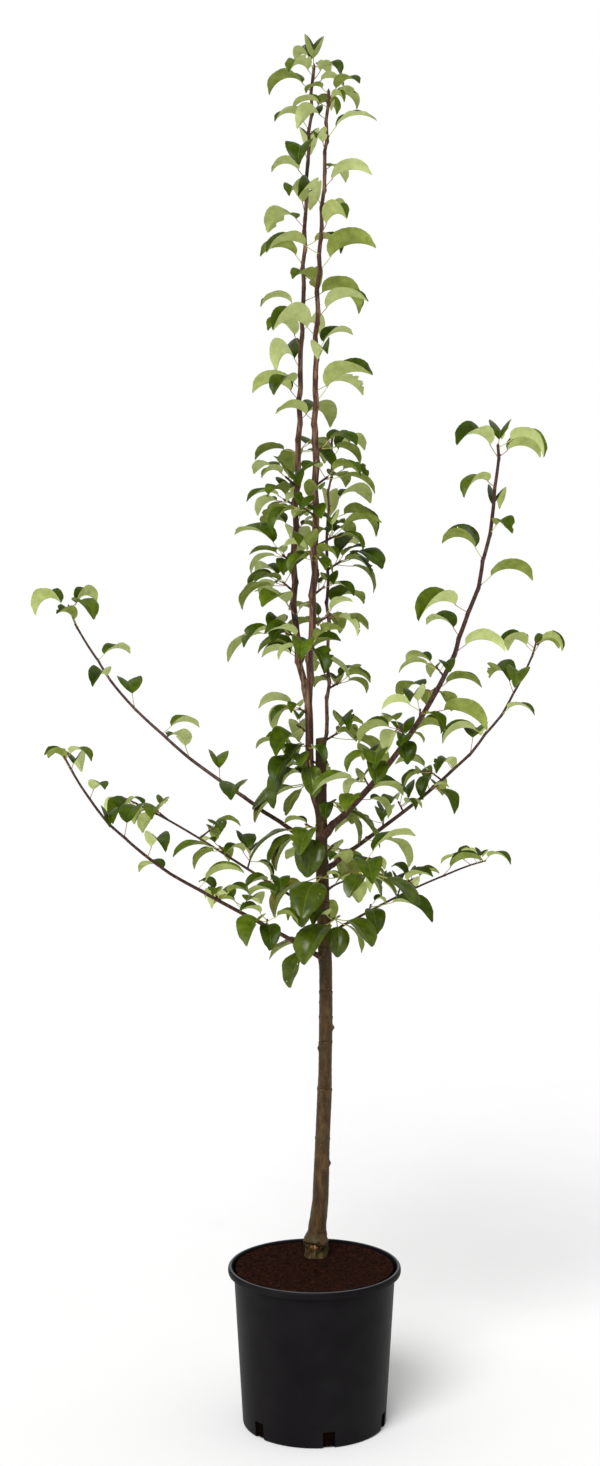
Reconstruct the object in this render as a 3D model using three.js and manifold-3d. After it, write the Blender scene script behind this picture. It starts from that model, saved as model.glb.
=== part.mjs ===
// A young pear tree in a black nursery pot: a grafted trunk that forks, two tall leaders and a thin
// third one, seven boughs, and arched leaves in spirals on the shoots and in clusters on short spurs.
// Millimetres, +Z up, the front faces -Y. The origin is the centre of the pot's flat underside.

import * as THREE from 'three';
import { mergeVertices } from 'three/addons/utils/BufferGeometryUtils.js';
import Module from 'manifold-3d';

const wasm = await Module();
wasm.setup();

// Clearance between neighbouring pieces
const GAP = 0.3;

// Pot: a tapering 15 litre container with a rolled rim and slots at its foot
const POT_HEIGHT = 278;
const POT_FOOT_RADIUS = 124.7;
const POT_SHOULDER_RADIUS = 139.8;
const POT_RIM_RADIUS = 150;
const POT_RIM_HEIGHT = 13;
const POT_SHOULDER = POT_HEIGHT - POT_RIM_HEIGHT;
const POT_RIM_ROUND = 2;
const POT_RIM_BEAD = 7.5;
const POT_WALL = 2.6;
const POT_FLOOR = 3;
const POT_FOOT_ROUND = 3.5;
const POT_SIDES = 40;
const SLOT_COUNT = 6;
const SLOT_WIDTH = 21;
const SLOT_HEIGHT = 29;
const SLOT_UNDER = 20;
const SLOT_FIRST_AZIMUTH = -79;

// Compost, a little below the rim
const SOIL_DROP = 10;
const SOIL_TOP = POT_HEIGHT - SOIL_DROP;

// Trunk: the rootstock's stump, the swollen graft, the stem with its yearly rings and the sawn top
const TRUNK_BACK = 76;
const TRUNK_SIDES = 10;
const TRUNK_FOOT = SOIL_TOP + GAP;
// height above the compost, sideways lean, radius
const TRUNK_STATIONS = [
  [0, 2.4, 20.5],
  [16, 2.8, 19.8],
  [26, 3.2, 22.4],
  [36, 4.0, 19.6],
  [44, 4.8, 17.0],
  [56, 6.0, 15.8],
  [101, 11.1, 14.0],
  [173, 13.7, 13.3],
  [245, 16.0, 12.8],
  [300, 18.2, 12.9],
  [330, 19.2, 12.1],
  [460, 20.2, 12.0],
  [512, 20.0, 11.7],
  [620, 16.0, 11.2],
  [724, 12.4, 10.6],
  [830, 11.5, 9.8],
  [922, 11.4, 9.0],
];

// A limb starts on the trunk's axis at a height, or at the end of another limb. It runs out by
// reach and up by rise towards azimuth, leaving at the launch and ending at the arrive elevation.
const CURVE_PULL = 0.36;
const TAPER = 0.6;
const LIMBS = {
  fork: {
    height: 1059, azimuth: 173, reach: 22.5, rise: 187, launch: 63, arrive: 85,
    radius: [7.9, 7.0],
  },
  leader_left: {
    from: 'fork', azimuth: 124, reach: 29, rise: 472, launch: 65, arrive: 93,
    radius: [6.2, 5.0],
  },
  leader_right: {
    from: 'fork', azimuth: -65, reach: 27, rise: 469, launch: 84, arrive: 93,
    radius: [6.8, 5.7],
  },
  leader_third: {
    height: 1128, azimuth: 80, reach: 64, rise: 420, launch: 38, arrive: 91,
    radius: [3.9, 2.6],
  },
  bough_left_upper: {
    height: 989, azimuth: 151.5, reach: 529, rise: 424, launch: 30.6, arrive: 64.2,
    radius: [4.6, 1.9], bare: 0.2,
  },
  bough_left_middle: {
    height: 880, azimuth: 178, reach: 353, rise: 204, launch: 27.5, arrive: 23.9,
    radius: [3.0, 1.7], bare: 0.14,
  },
  bough_left_lower: {
    height: 796, azimuth: -147.5, reach: 504, rise: 384, launch: 34, arrive: 63.2,
    radius: [4.5, 1.9], bare: 0.16,
  },
  bough_right_upper: {
    height: 1017, azimuth: -45, reach: 393, rise: 662, launch: 36.2, arrive: 89.4,
    radius: [6.8, 2.5], bare: 0.1,
  },
  bough_right_middle: {
    height: 954, azimuth: 29, reach: 451, rise: 394, launch: 30.4, arrive: 69,
    radius: [4.6, 1.9], bare: 0.12,
  },
  bough_right_short: {
    height: 917, azimuth: -59, reach: 158, rise: 56, launch: 29.5, arrive: 18.8,
    radius: [2.2, 1.5], bare: 0.24,
  },
  bough_right_lower: {
    height: 839, azimuth: 41, reach: 400, rise: 98, launch: 18.5, arrive: 6.9,
    radius: [2.8, 1.6], bare: 0.16,
  },
};

// The leafy ends that go on from the leaders
const SHOOTS = {
  leader_left: {
    azimuth: 44, reach: 36, rise: 628, launch: 87.6, arrive: 84.4,
    radius: [5.0, 2.7],
  },
  leader_right: {
    azimuth: -54, reach: 37, rise: 566, launch: 91.2, arrive: 85,
    radius: [5.6, 2.7],
  },
  leader_third: {
    azimuth: 30, reach: 12, rise: 165, launch: 90, arrive: 88,
    radius: [2.5, 1.6],
  },
};

// Leaf habit. Lengths in millimetres, angles in degrees: blade length, petiole length as a share of
// it, lift of the petiole and its spread, bend of the blade from root to tip, fold of each half,
// half width as a share of the length, and where along the blade the solid has its cross rows.
const HABITS = {
  shoot: {
    blade: 79, petiole: 0.35, lift: 40, sway: 18, bend: 98, fold: 38, width: 0.325,
    rows: [0.34, 0.72],
  },
  spur: {
    blade: 73, petiole: 0.4, lift: 24, sway: 32, bend: 86, fold: 28, width: 0.33,
    rows: [0.48],
  },
  old: {
    blade: 90, petiole: 0.38, lift: -16, sway: 24, bend: 58, fold: 12, width: 0.35,
    rows: [0.24, 0.66],
  },
};
const SIZE_SPREAD = 0.22;
const ANGLE_SPREAD = 0.25;
const FOLD_SPREAD = 0.55;
const TWIST_SPREAD = 30;
const GOLDEN_TURN = 0.381966;
const SITE_JITTER = 0.4;
const TURN_JITTER = 0.2;
// Leaf size at the foot and at the tip of a shoot
const SHOOT_SIZE = [1.05, 0.85];
// Each leaf site or cluster has its own random numbers, and the tip rosette takes the last of them
const SEED_STRIDE = 100;

// Foliage masses: sites is the number of leaf sites along the stem, spurs the share of the stem
// that carries clusters instead of single leaves, tip the leaves of the end rosette. The leaves fan
// to both sides of facing.
const MASSES = {
  leader_left_shoot: { sites: 21, spurs: 0, tip: 5, facing: 190, fan: 140, habit: 'shoot', seed: 17 },
  leader_right_shoot: { sites: 20, spurs: 0, tip: 5, facing: -10, fan: 140, habit: 'shoot', seed: 48 },
  leader_third_shoot: { sites: 6, spurs: 0, tip: 3, facing: 30, fan: 130, habit: 'spur', seed: 57 },
  bough_left_upper: { sites: 8, spurs: 0, tip: 4, facing: 90, fan: 180, habit: 'shoot', seed: 65 },
  bough_left_middle: { sites: 6, spurs: 0.8, tip: 3, facing: 90, fan: 180, habit: 'spur', seed: 48 },
  bough_left_lower: { sites: 10, spurs: 0.3, tip: 3, facing: 90, fan: 180, habit: 'shoot', seed: 67 },
  bough_right_upper: { sites: 17, spurs: 0.5, tip: 3, facing: 90, fan: 180, habit: 'shoot', seed: 39 },
  bough_right_middle: { sites: 12, spurs: 0.4, tip: 3, facing: 90, fan: 180, habit: 'shoot', seed: 26 },
  bough_right_short: { sites: 2, spurs: 1, tip: 3, facing: 90, fan: 180, habit: 'old', seed: 23 },
  bough_right_lower: { sites: 5, spurs: 0.5, tip: 3, facing: 90, fan: 180, habit: 'shoot', seed: 67 },
};

// Spur clusters: short stems that carry a rosette, spaced up a limb and fanned round it
const CLUSTERS = [
  {
    on: 'fork', count: 5, from: 0.2, to: 1, facing: 190, fan: 100,
    leaves: 6, habit: 'spur', seed: 75,
  },
  {
    on: 'leader_left', count: 9, from: 0.03, to: 0.97, facing: 190, fan: 120,
    leaves: 6, habit: 'spur', seed: 44,
  },
  {
    on: 'leader_right', count: 8, from: 0.08, to: 0.97, facing: -20, fan: 120,
    leaves: 6, habit: 'spur', seed: 16,
  },
  {
    on: 'leader_third', count: 4, from: 0.1, to: 0.95, facing: 30, fan: 110,
    leaves: 6, habit: 'spur', seed: 28,
  },
  {
    on: 'trunk', count: 9, from: 0.57, to: 0.97, facing: 0, fan: 180,
    leaves: 5, habit: 'old', seed: 17,
  },
];
const SPUR_LENGTH = [14, 30];
const SPUR_LIFT = 28;
const SPUR_LIFT_SPREAD = 30;
const SPUR_RADIUS = 2.1;
const SPUR_TWIG_RADIUS = 1.7;
const SPUR_LEAVES = 3;
const SPUR_FAN = 110;
const ROSETTE_SPREAD = 24;
// Rosettes: spacing of the leaf roots down the stem, and the leaves' sizes
const SPUR_ROSETTE = { pitch: 2.6, size: [0.68, 1.08] };
const TIP_ROSETTE = { pitch: 7, size: [0.5, 1.05] };

// Mesh detail
const LIMB_SIDES = 8;
const STEM_SIDES = 4;
const TWIG_SIDES = 3;
const STEP_LENGTH = 55;
const PETIOLE_RADIUS = 0.95;
const LEAF_THICKNESS = 0.019;

// Keep-out spheres that hold the leaves of different pieces apart
const SAMPLE_STEP = 5;
const SAMPLE_MARGIN = 3;
const BLADE_SPHERE = 5.2;
const BLADE_ROWS = 8;
const BLADE_COLUMNS = 4;
const OWN_SHARE = 0.5;
const ROOT_FREE = 24;
const TRIES = 5;
const TRY_TURN = 47;

const UP = new THREE.Vector3(0, 0, 1);
const rad = THREE.MathUtils.degToRad;
const lerp = THREE.MathUtils.lerp;

const COLOURS = {
  pot: { color: 0x232325, roughness: 0.45 },
  compost: { color: 0x2b1812, roughness: 0.98 },
  bark: { color: 0x5f4a33, roughness: 0.85 },
  leader: { color: 0x6b4a3c, roughness: 0.7 },
  bough: { color: 0x4a2f2a, roughness: 0.65 },
  leaves: { color: 0x6f8a35, roughness: 0.5 },
};

function material(name) {
  return new THREE.MeshStandardMaterial({ metalness: 0, ...COLOURS[name] });
}

// Seeded random numbers from 0 to 1
function randomFrom(seed) {
  let state = (seed * 7919 + 12345) % 4294967296;
  const next = () => {
    state = (state * 1664525 + 1013904223) % 4294967296;
    return state / 4294967296;
  };
  next();
  next();
  return next;
}

function direction(azimuth, elevation) {
  const flat = Math.cos(rad(elevation));
  return new THREE.Vector3(
    Math.cos(rad(azimuth)) * flat, Math.sin(rad(azimuth)) * flat, Math.sin(rad(elevation)));
}

// A closed skin over rings of equal point count, with flat ends
function loft(rings) {
  const sides = rings[0].length;
  const positions = rings.flat().flatMap((p) => [p.x, p.y, p.z]);
  const index = [];
  for (let ring = 0; ring < rings.length - 1; ring += 1) {
    for (let i = 0; i < sides; i += 1) {
      const a = ring * sides + i;
      const b = ring * sides + ((i + 1) % sides);
      index.push(a, b, b + sides, a, b + sides, a + sides);
    }
  }
  const last = (rings.length - 1) * sides;
  for (let i = 1; i < sides - 1; i += 1) {
    index.push(0, i + 1, i);
    index.push(last, last + i, last + i + 1);
  }
  const geometry = new THREE.BufferGeometry();
  geometry.setAttribute('position', new THREE.Float32BufferAttribute(positions, 3));
  geometry.setIndex(index);
  return geometry;
}

function solid(geometry) {
  const bare = geometry.clone();
  bare.deleteAttribute('normal');
  bare.deleteAttribute('uv');
  const merged = mergeVertices(bare, 1e-4);
  return new wasm.Manifold(new wasm.Mesh({
    numProp: 3,
    vertProperties: new Float32Array(merged.attributes.position.array),
    triVerts: new Uint32Array(merged.index.array),
  }));
}

function toGeometry(manifold) {
  const mesh = manifold.getMesh();
  const geometry = new THREE.BufferGeometry();
  geometry.setAttribute('position', new THREE.BufferAttribute(mesh.vertProperties.slice(), 3));
  geometry.setIndex(new THREE.BufferAttribute(mesh.triVerts.slice(), 1));
  geometry.computeVertexNormals();
  return geometry;
}

function addMesh(group, name, geometry, look) {
  const mesh = new THREE.Mesh(geometry, material(look));
  mesh.name = name;
  group.add(mesh);
}

// Trunk axis and radius at a height, between the stations
function trunkAt(height) {
  const above = THREE.MathUtils.clamp(height - TRUNK_FOOT, 0, TRUNK_STATIONS.at(-1)[0]);
  const upper = Math.max(1, TRUNK_STATIONS.findIndex((station) => station[0] >= above));
  const [h0, lean0, radius0] = TRUNK_STATIONS[upper - 1];
  const [h1, lean1, radius1] = TRUNK_STATIONS[upper];
  const share = (above - h0) / (h1 - h0);
  return {
    centre: new THREE.Vector3(lerp(lean0, lean1, share), TRUNK_BACK, TRUNK_FOOT + above),
    radius: lerp(radius0, radius1, share),
  };
}

function trunkRings(extra) {
  return TRUNK_STATIONS.map(([above, lean, radius]) => {
    const ring = [];
    for (let i = 0; i < TRUNK_SIDES; i += 1) {
      const spoke = direction((360 * i) / TRUNK_SIDES, 0).multiplyScalar(radius + extra);
      ring.push(new THREE.Vector3(lean, TRUNK_BACK, TRUNK_FOOT + above).add(spoke));
    }
    return ring;
  });
}

// The curve of a limb from its start, with the launch and arrive elevations as its end tangents
function limbCurve(start, { azimuth, reach, rise, launch, arrive }) {
  const tip = start.clone().add(direction(azimuth, 0).multiplyScalar(reach)).addScaledVector(UP, rise);
  const pull = start.distanceTo(tip) * CURVE_PULL;
  return new THREE.CubicBezierCurve3(
    start,
    start.clone().addScaledVector(direction(azimuth, launch), pull),
    tip.clone().addScaledVector(direction(azimuth, arrive), -pull),
    tip,
  );
}

// A stretch of a curve as a stem: points, tangents and radii from one share of it to another
function stretch(curve, radius, from, to) {
  const steps = Math.max(2, Math.round((curve.getLength() * (to - from)) / STEP_LENGTH));
  const at = (share) => {
    const u = lerp(from, to, share);
    const thick = lerp(radius[0], radius[1], u ** TAPER);
    return { point: curve.getPoint(u), tangent: curve.getTangent(u), radius: thick };
  };
  return { steps, at, length: curve.getLength() * (to - from) };
}

function stemRings(stem, sides, extra) {
  const rings = [];
  let side = direction(0, 0);
  for (let step = 0; step <= stem.steps; step += 1) {
    const { point, tangent, radius } = stem.at(step / stem.steps);
    side = side.addScaledVector(tangent, -side.dot(tangent)).normalize();
    const other = new THREE.Vector3().crossVectors(tangent, side);
    const ring = [];
    for (let i = 0; i < sides; i += 1) {
      const angle = (2 * Math.PI * i) / sides;
      ring.push(point.clone()
        .addScaledVector(side, Math.cos(angle) * (radius + extra))
        .addScaledVector(other, Math.sin(angle) * (radius + extra)));
    }
    rings.push(ring);
    side = side.clone();
  }
  return rings;
}

function straightStem(start, along, length, radius) {
  const at = (share) => ({
    point: start.clone().addScaledVector(along, length * share),
    tangent: along,
    radius: lerp(radius[0], radius[1], share),
  });
  return { steps: 1, at, length };
}

// The keep-out spheres of every piece, filled as the pieces are grown
const spheres = [];

function addStemSpheres(owner, stem) {
  const count = Math.ceil(stem.length / SAMPLE_STEP);
  for (let i = 0; i <= count; i += 1) {
    const { point, radius } = stem.at(i / count);
    spheres.push({ owner, point, radius: radius + SAMPLE_MARGIN });
  }
}

// A leaf's shape: a straight petiole and a folded blade whose midrib is an arc
function leafShape(root, azimuth, habit, size, random) {
  const vary = (spread) => 1 + spread * (2 * random() - 1);
  const blade = habit.blade * size * vary(SIZE_SPREAD);
  const petiole = blade * habit.petiole * vary(SIZE_SPREAD);
  const lift = habit.lift + habit.sway * (2 * random() - 1);
  const bend = rad(habit.bend * vary(ANGLE_SPREAD));
  const fold = rad(habit.fold * vary(FOLD_SPREAD));
  const twist = rad(TWIST_SPREAD * (2 * random() - 1));
  const half = blade * habit.width * vary(ANGLE_SPREAD / 2);
  return { root, azimuth, blade, petiole, lift, bend, fold, twist, half, rows: habit.rows };
}

// Half width of the blade along its midrib, as a share of the widest
function outline(s) {
  return Math.sin(Math.PI * s ** 0.84) ** 0.75 * (1 - 0.1 * s);
}

// A point on the blade: s along the midrib, v across from -1 to 1, and the blade's normal there
function bladePoint(leaf, s, v) {
  const out = direction(leaf.azimuth, 0);
  const start = rad(leaf.lift);
  const pitch = start - leaf.bend * s;
  const arc = leaf.blade / leaf.bend;
  const along = arc * (Math.sin(start) - Math.sin(pitch));
  const height = arc * (Math.cos(pitch) - Math.cos(start));
  const point = leaf.root.clone()
    .addScaledVector(direction(leaf.azimuth, leaf.lift), leaf.petiole)
    .addScaledVector(out, along)
    .addScaledVector(UP, height);
  const flat = direction(leaf.azimuth + 90, 0);
  const over = direction(leaf.azimuth, (pitch * 180) / Math.PI + 90);
  const turn = leaf.twist * s;
  const side = flat.clone().multiplyScalar(Math.cos(turn)).addScaledVector(over, Math.sin(turn));
  const normal = over.multiplyScalar(Math.cos(turn)).addScaledVector(flat, -Math.sin(turn));
  const width = leaf.half * outline(s) * v;
  point.addScaledVector(side, width * Math.cos(leaf.fold));
  point.addScaledVector(normal, Math.abs(width) * Math.sin(leaf.fold));
  return { point, side, normal };
}

function leafSpheres(leaf) {
  const list = [];
  const along = direction(leaf.azimuth, leaf.lift);
  const count = Math.ceil(leaf.petiole / SAMPLE_STEP);
  for (let i = 1; i <= count; i += 1) {
    const point = leaf.root.clone().addScaledVector(along, (leaf.petiole * i) / count);
    list.push({ point, radius: PETIOLE_RADIUS + SAMPLE_MARGIN });
  }
  for (let row = 1; row <= BLADE_ROWS; row += 1) {
    for (let column = -BLADE_COLUMNS; column <= BLADE_COLUMNS; column += 1) {
      const { point } = bladePoint(leaf, row / BLADE_ROWS, column / BLADE_COLUMNS);
      list.push({ point, radius: BLADE_SPHERE });
    }
  }
  return list;
}

// True when a leaf's spheres stay off every other piece, and mostly off its own mass
function isClear(list, owner, root) {
  for (const own of list) {
    const fromRoot = own.point.distanceTo(root);
    for (const other of spheres) {
      const mine = other.owner === owner;
      if (mine && (fromRoot < ROOT_FREE || other.point.distanceTo(root) < ROOT_FREE)) {
        continue;
      }
      const reach = (own.radius + other.radius) * (mine ? OWN_SHARE : 1);
      if (own.point.distanceToSquared(other.point) < reach * reach) {
        return false;
      }
    }
  }
  return true;
}

// The closed solid of a leaf: a three-sided petiole that opens into the two folded halves
function leafGeometry(leaf) {
  const along = direction(leaf.azimuth, leaf.lift);
  const side = direction(leaf.azimuth + 90, 0);
  const over = direction(leaf.azimuth, leaf.lift + 90);
  const end = leaf.root.clone().addScaledVector(along, leaf.petiole);
  const points = [];
  for (const centre of [leaf.root, end]) {
    for (const corner of [150, 30, 270]) {
      points.push(centre.clone()
        .addScaledVector(side, Math.cos(rad(corner)) * PETIOLE_RADIUS)
        .addScaledVector(over, Math.sin(rad(corner)) * PETIOLE_RADIUS));
    }
  }
  const thick = leaf.blade * LEAF_THICKNESS;
  for (const s of leaf.rows) {
    const middle = bladePoint(leaf, s, 0);
    points.push(bladePoint(leaf, s, -1).point, middle.point, bladePoint(leaf, s, 1).point);
    points.push(middle.point.clone().addScaledVector(middle.normal, -thick));
  }
  points.push(bladePoint(leaf, 1, 0).point);
  const index = [0, 1, 2];
  for (const [a, b] of [[0, 1], [1, 2], [2, 0]]) {
    index.push(a, a + 3, b, b, a + 3, b + 3);
  }
  // 3 right, 4 left and 5 under the petiole's end, then right, middle, left and under in each row
  index.push(3, 6, 7, 3, 7, 4, 4, 7, 8);
  index.push(3, 5, 6, 5, 9, 6, 5, 8, 9, 5, 4, 8);
  const tip = points.length - 1;
  for (let a = 6; a < tip; a += 4) {
    const b = a + 4;
    if (b < tip) {
      index.push(a, b, b + 1, a, b + 1, a + 1, a + 1, b + 1, b + 2, a + 1, b + 2, a + 2);
      index.push(a, a + 3, b + 3, a, b + 3, b, a + 3, a + 2, b + 2, a + 3, b + 2, b + 3);
    } else {
      index.push(a, tip, a + 1, a + 1, tip, a + 2, a, a + 3, tip, a + 3, a + 2, tip);
    }
  }
  const geometry = new THREE.BufferGeometry();
  geometry.setAttribute('position',
    new THREE.Float32BufferAttribute(points.flatMap((p) => [p.x, p.y, p.z]), 3));
  geometry.setIndex(index);
  return geometry;
}

// One leaf, turned a few times if it is in the way, or none
function growLeaf(mass, root, azimuth, habit, size, random) {
  const leaf = leafShape(root, azimuth, habit, size, random);
  for (let attempt = 0; attempt < TRIES; attempt += 1) {
    const list = leafSpheres(leaf);
    if (isClear(list, mass.name, root)) {
      list.forEach((sphere) => spheres.push({ owner: mass.name, ...sphere }));
      mass.leaves.push(leaf);
      return;
    }
    leaf.azimuth += TRY_TURN * (attempt + 1) * (attempt % 2 ? -1 : 1);
  }
}

// Leaves fanned round the end of a stem, their roots close together along it
function growRosette(mass, stem, facing, fan, count, habit, { pitch, size }, random) {
  for (let i = 0; i < count; i += 1) {
    const azimuth = facing + fan * ((2 * (i + 0.5)) / count - 1) + ROSETTE_SPREAD * (random() - 0.5);
    const root = stem.at(1 - ((i + 0.6) * pitch) / stem.length).point;
    growLeaf(mass, root, azimuth, habit, lerp(size[0], size[1], random()), random);
  }
}

// Azimuth of the next leaf or spur in a spiral that is pressed into a fan round facing
function spiralAzimuth({ facing, fan }, site, random) {
  return facing + fan * (2 * ((site * GOLDEN_TURN + random() * TURN_JITTER) % 1) - 1);
}

// Leaves and spurs in a spiral along a mass's stem, and a rosette at its tip
function growShoot(mass, spec) {
  const habit = HABITS[spec.habit];
  for (let site = 0; site < spec.sites; site += 1) {
    const random = randomFrom(spec.seed * SEED_STRIDE + site);
    const share = (site + 0.5 + SITE_JITTER * (random() - 0.5)) / spec.sites;
    const azimuth = spiralAzimuth(spec, site, random);
    const { point } = mass.stem.at(share);
    if (share < spec.spurs) {
      const along = direction(azimuth, SPUR_LIFT + SPUR_LIFT_SPREAD * random());
      const length = lerp(SPUR_LENGTH[0], SPUR_LENGTH[1], random());
      const twig = straightStem(point, along, length, [SPUR_TWIG_RADIUS, SPUR_TWIG_RADIUS * 0.8]);
      mass.twigs.push(twig);
      addStemSpheres(mass.name, twig);
      growRosette(mass, twig, azimuth, SPUR_FAN, SPUR_LEAVES, HABITS.spur, SPUR_ROSETTE, random);
    } else {
      growLeaf(mass, point, azimuth, habit, lerp(SHOOT_SIZE[0], SHOOT_SIZE[1], share), random);
    }
  }
  const random = randomFrom(spec.seed * SEED_STRIDE + SEED_STRIDE - 1);
  growRosette(mass, mass.stem, spec.facing, 180, spec.tip, habit, TIP_ROSETTE, random);
}

function startMass(name, stem) {
  return { name, stem, twigs: [], leaves: [] };
}

function massSolid(mass) {
  let body = solid(loft(stemRings(mass.stem, STEM_SIDES, 0)));
  for (const twig of mass.twigs) {
    body = body.add(solid(loft(stemRings(twig, TWIG_SIDES, 0))));
  }
  for (const leaf of mass.leaves) {
    body = body.add(solid(leafGeometry(leaf)));
  }
  if (!mass.host) {
    return body;
  }
  // The largest piece is the mass: a scrap that the limb cuts off it is dropped
  const pieces = body.subtract(mass.host).decompose();
  return pieces.reduce((largest, piece) => (piece.volume() > largest.volume() ? piece : largest));
}

// The pot's outer radius at a height below the rim
function potRadius(height) {
  return lerp(POT_FOOT_RADIUS, POT_SHOULDER_RADIUS, height / POT_SHOULDER);
}

// Pot: an open lathe cup, its slots cut through the wall and under the foot
function potGeometry() {
  const inner = (height) => potRadius(height) - POT_WALL;
  const profile = [
    [0, 0],
    [POT_FOOT_RADIUS - POT_FOOT_ROUND, 0],
    [POT_FOOT_RADIUS, POT_FOOT_ROUND],
    [POT_SHOULDER_RADIUS, POT_SHOULDER],
    [POT_RIM_RADIUS - POT_RIM_ROUND, POT_SHOULDER],
    [POT_RIM_RADIUS, POT_HEIGHT - POT_RIM_HEIGHT / 2],
    [POT_RIM_RADIUS - POT_RIM_ROUND, POT_HEIGHT - POT_RIM_ROUND / 2],
    [POT_RIM_RADIUS - POT_RIM_BEAD / 2, POT_HEIGHT],
    [POT_RIM_RADIUS - POT_RIM_BEAD, POT_HEIGHT - POT_RIM_ROUND],
    [inner(POT_SHOULDER), POT_SHOULDER],
    [inner(POT_FLOOR), POT_FLOOR],
    [0, POT_FLOOR],
  ].map(([r, z]) => new THREE.Vector2(r, z));
  let body = solid(new THREE.LatheGeometry(profile, POT_SIDES).rotateX(Math.PI / 2));
  const depth = SLOT_UNDER + POT_FOOT_ROUND;
  for (let i = 0; i < SLOT_COUNT; i += 1) {
    const cutter = new THREE.BoxGeometry(depth, SLOT_WIDTH, SLOT_HEIGHT * 2);
    cutter.translate(POT_FOOT_RADIUS + POT_FOOT_ROUND - depth / 2, 0, 0);
    cutter.rotateZ(rad(SLOT_FIRST_AZIMUTH + (360 * i) / SLOT_COUNT));
    body = body.subtract(solid(cutter));
  }
  return toGeometry(body);
}

function compostGeometry() {
  const radius = (height) => potRadius(height) - POT_WALL - GAP;
  const profile = [
    [0, POT_FLOOR + GAP],
    [radius(POT_FLOOR), POT_FLOOR + GAP],
    [radius(POT_SHOULDER), POT_SHOULDER],
    [radius(POT_SHOULDER), SOIL_TOP],
    [0, SOIL_TOP],
  ].map(([r, z]) => new THREE.Vector2(r, z));
  return new THREE.LatheGeometry(profile, POT_SIDES).rotateX(Math.PI / 2);
}

// Limb curves, each from the trunk or from the end of the limb before it
function startOf(spec) {
  return spec.from ? curves[spec.from].getPoint(1) : trunkAt(spec.height).centre;
}

const curves = {};
for (const [name, spec] of Object.entries(LIMBS)) {
  curves[name] = limbCurve(startOf(spec), spec);
}

const tree = new THREE.Group();
addMesh(tree, 'pot', potGeometry(), 'pot');
addMesh(tree, 'compost', compostGeometry(), 'compost');

// The trunk keeps its fork: the fork's stem is fused to it, with a short stub for each leader
const FORK_STUB = 0.06;
const trunkSolid = (extra) => {
  let body = solid(loft(trunkRings(extra)));
  const fork = stretch(curves.fork, LIMBS.fork.radius, 0, 1);
  body = body.add(solid(loft(stemRings(fork, LIMB_SIDES, extra))));
  for (const name of ['leader_left', 'leader_right']) {
    const stub = stretch(curves[name], LIMBS[name].radius, 0, FORK_STUB);
    body = body.add(solid(loft(stemRings(stub, LIMB_SIDES, extra))));
  }
  return body;
};
addMesh(tree, 'trunk', toGeometry(trunkSolid(0)), 'bark');
const trunkClear = trunkSolid(GAP);
const trunkStem = {
  length: TRUNK_STATIONS.at(-1)[0],
  at: (share) => {
    const { centre, radius } = trunkAt(TRUNK_FOOT + share * TRUNK_STATIONS.at(-1)[0]);
    return { point: centre, tangent: UP, radius };
  },
};
addStemSpheres('trunk', trunkStem);

// Limbs, and the stems of the masses that go on from them
const forkStem = stretch(curves.fork, LIMBS.fork.radius, 0, 1);
const limbs = {
  trunk: { stem: trunkStem, clear: trunkClear },
  fork: { stem: forkStem, clear: trunkClear },
};
addStemSpheres('trunk', forkStem);
const masses = [];
for (const [name, spec] of Object.entries(LIMBS)) {
  if (name === 'fork') {
    continue;
  }
  const curve = curves[name];
  const gap = GAP / curve.getLength();
  const end = spec.bare ?? 1;
  const begin = spec.from ? FORK_STUB + gap : 0;
  const stem = stretch(curve, spec.radius, begin, end);
  let body = solid(loft(stemRings(stem, LIMB_SIDES, 0)));
  body = spec.from ? body : body.subtract(trunkClear);
  addMesh(tree, name, toGeometry(body), name.startsWith('bough') ? 'bough' : 'leader');
  limbs[name] = { stem, clear: solid(loft(stemRings(stem, LIMB_SIDES, GAP))) };
  addStemSpheres(name, stem);
  const shoot = SHOOTS[name];
  const leafy = shoot ? limbCurve(curve.getPoint(1), shoot) : curve;
  const first = shoot ? GAP / leafy.getLength() : end + gap;
  const mass = startMass(
    shoot ? `${name}_shoot` : `${name}_foliage`, stretch(leafy, (shoot ?? spec).radius, first, 1));
  mass.spec = MASSES[shoot ? mass.name : name];
  masses.push(mass);
}
masses.forEach((mass) => addStemSpheres(mass.name, mass.stem));

// Spur clusters on the trunk and on the leaders
for (const row of CLUSTERS) {
  for (let i = 0; i < row.count; i += 1) {
    const random = randomFrom(row.seed * SEED_STRIDE + i);
    const host = limbs[row.on];
    const share = lerp(row.from, row.to, (i + 0.5 + SITE_JITTER * (random() - 0.5)) / row.count);
    const azimuth = spiralAzimuth(row, i, random);
    const { point, radius } = host.stem.at(share);
    const length = radius + lerp(SPUR_LENGTH[0], SPUR_LENGTH[1], random());
    const along = direction(azimuth, SPUR_LIFT);
    const stem = straightStem(point, along, length, [SPUR_RADIUS, SPUR_TWIG_RADIUS]);
    const mass = startMass(`${row.on}_spur_${i + 1}`, stem);
    mass.host = host.clear;
    const bare = straightStem(stem.at(radius / length).point, along, length - radius, [1, 1]);
    addStemSpheres(mass.name, bare);
    masses.push(mass);
    const leaves = row.leaves + (i % 3) - 1;
    growRosette(mass, stem, azimuth, SPUR_FAN, leaves, HABITS[row.habit], SPUR_ROSETTE, random);
  }
}

masses.filter((mass) => mass.spec).forEach((mass) => growShoot(mass, mass.spec));
for (const mass of masses) {
  addMesh(tree, mass.name, toGeometry(massSolid(mass)), 'leaves');
}

export default tree;
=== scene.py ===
"""Looks of a young potted pear tree: bark, spurs and buds, two-sided leaves, the pot and its
compost. Metres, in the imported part's frame; the growth rule works in millimetres."""

from math import ceil, copysign, cos, hypot, pi, radians, sin, sqrt, tau
from types import SimpleNamespace

import bmesh
import bpy
import numpy as np
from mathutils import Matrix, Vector
from numpy.linalg import norm


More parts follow.
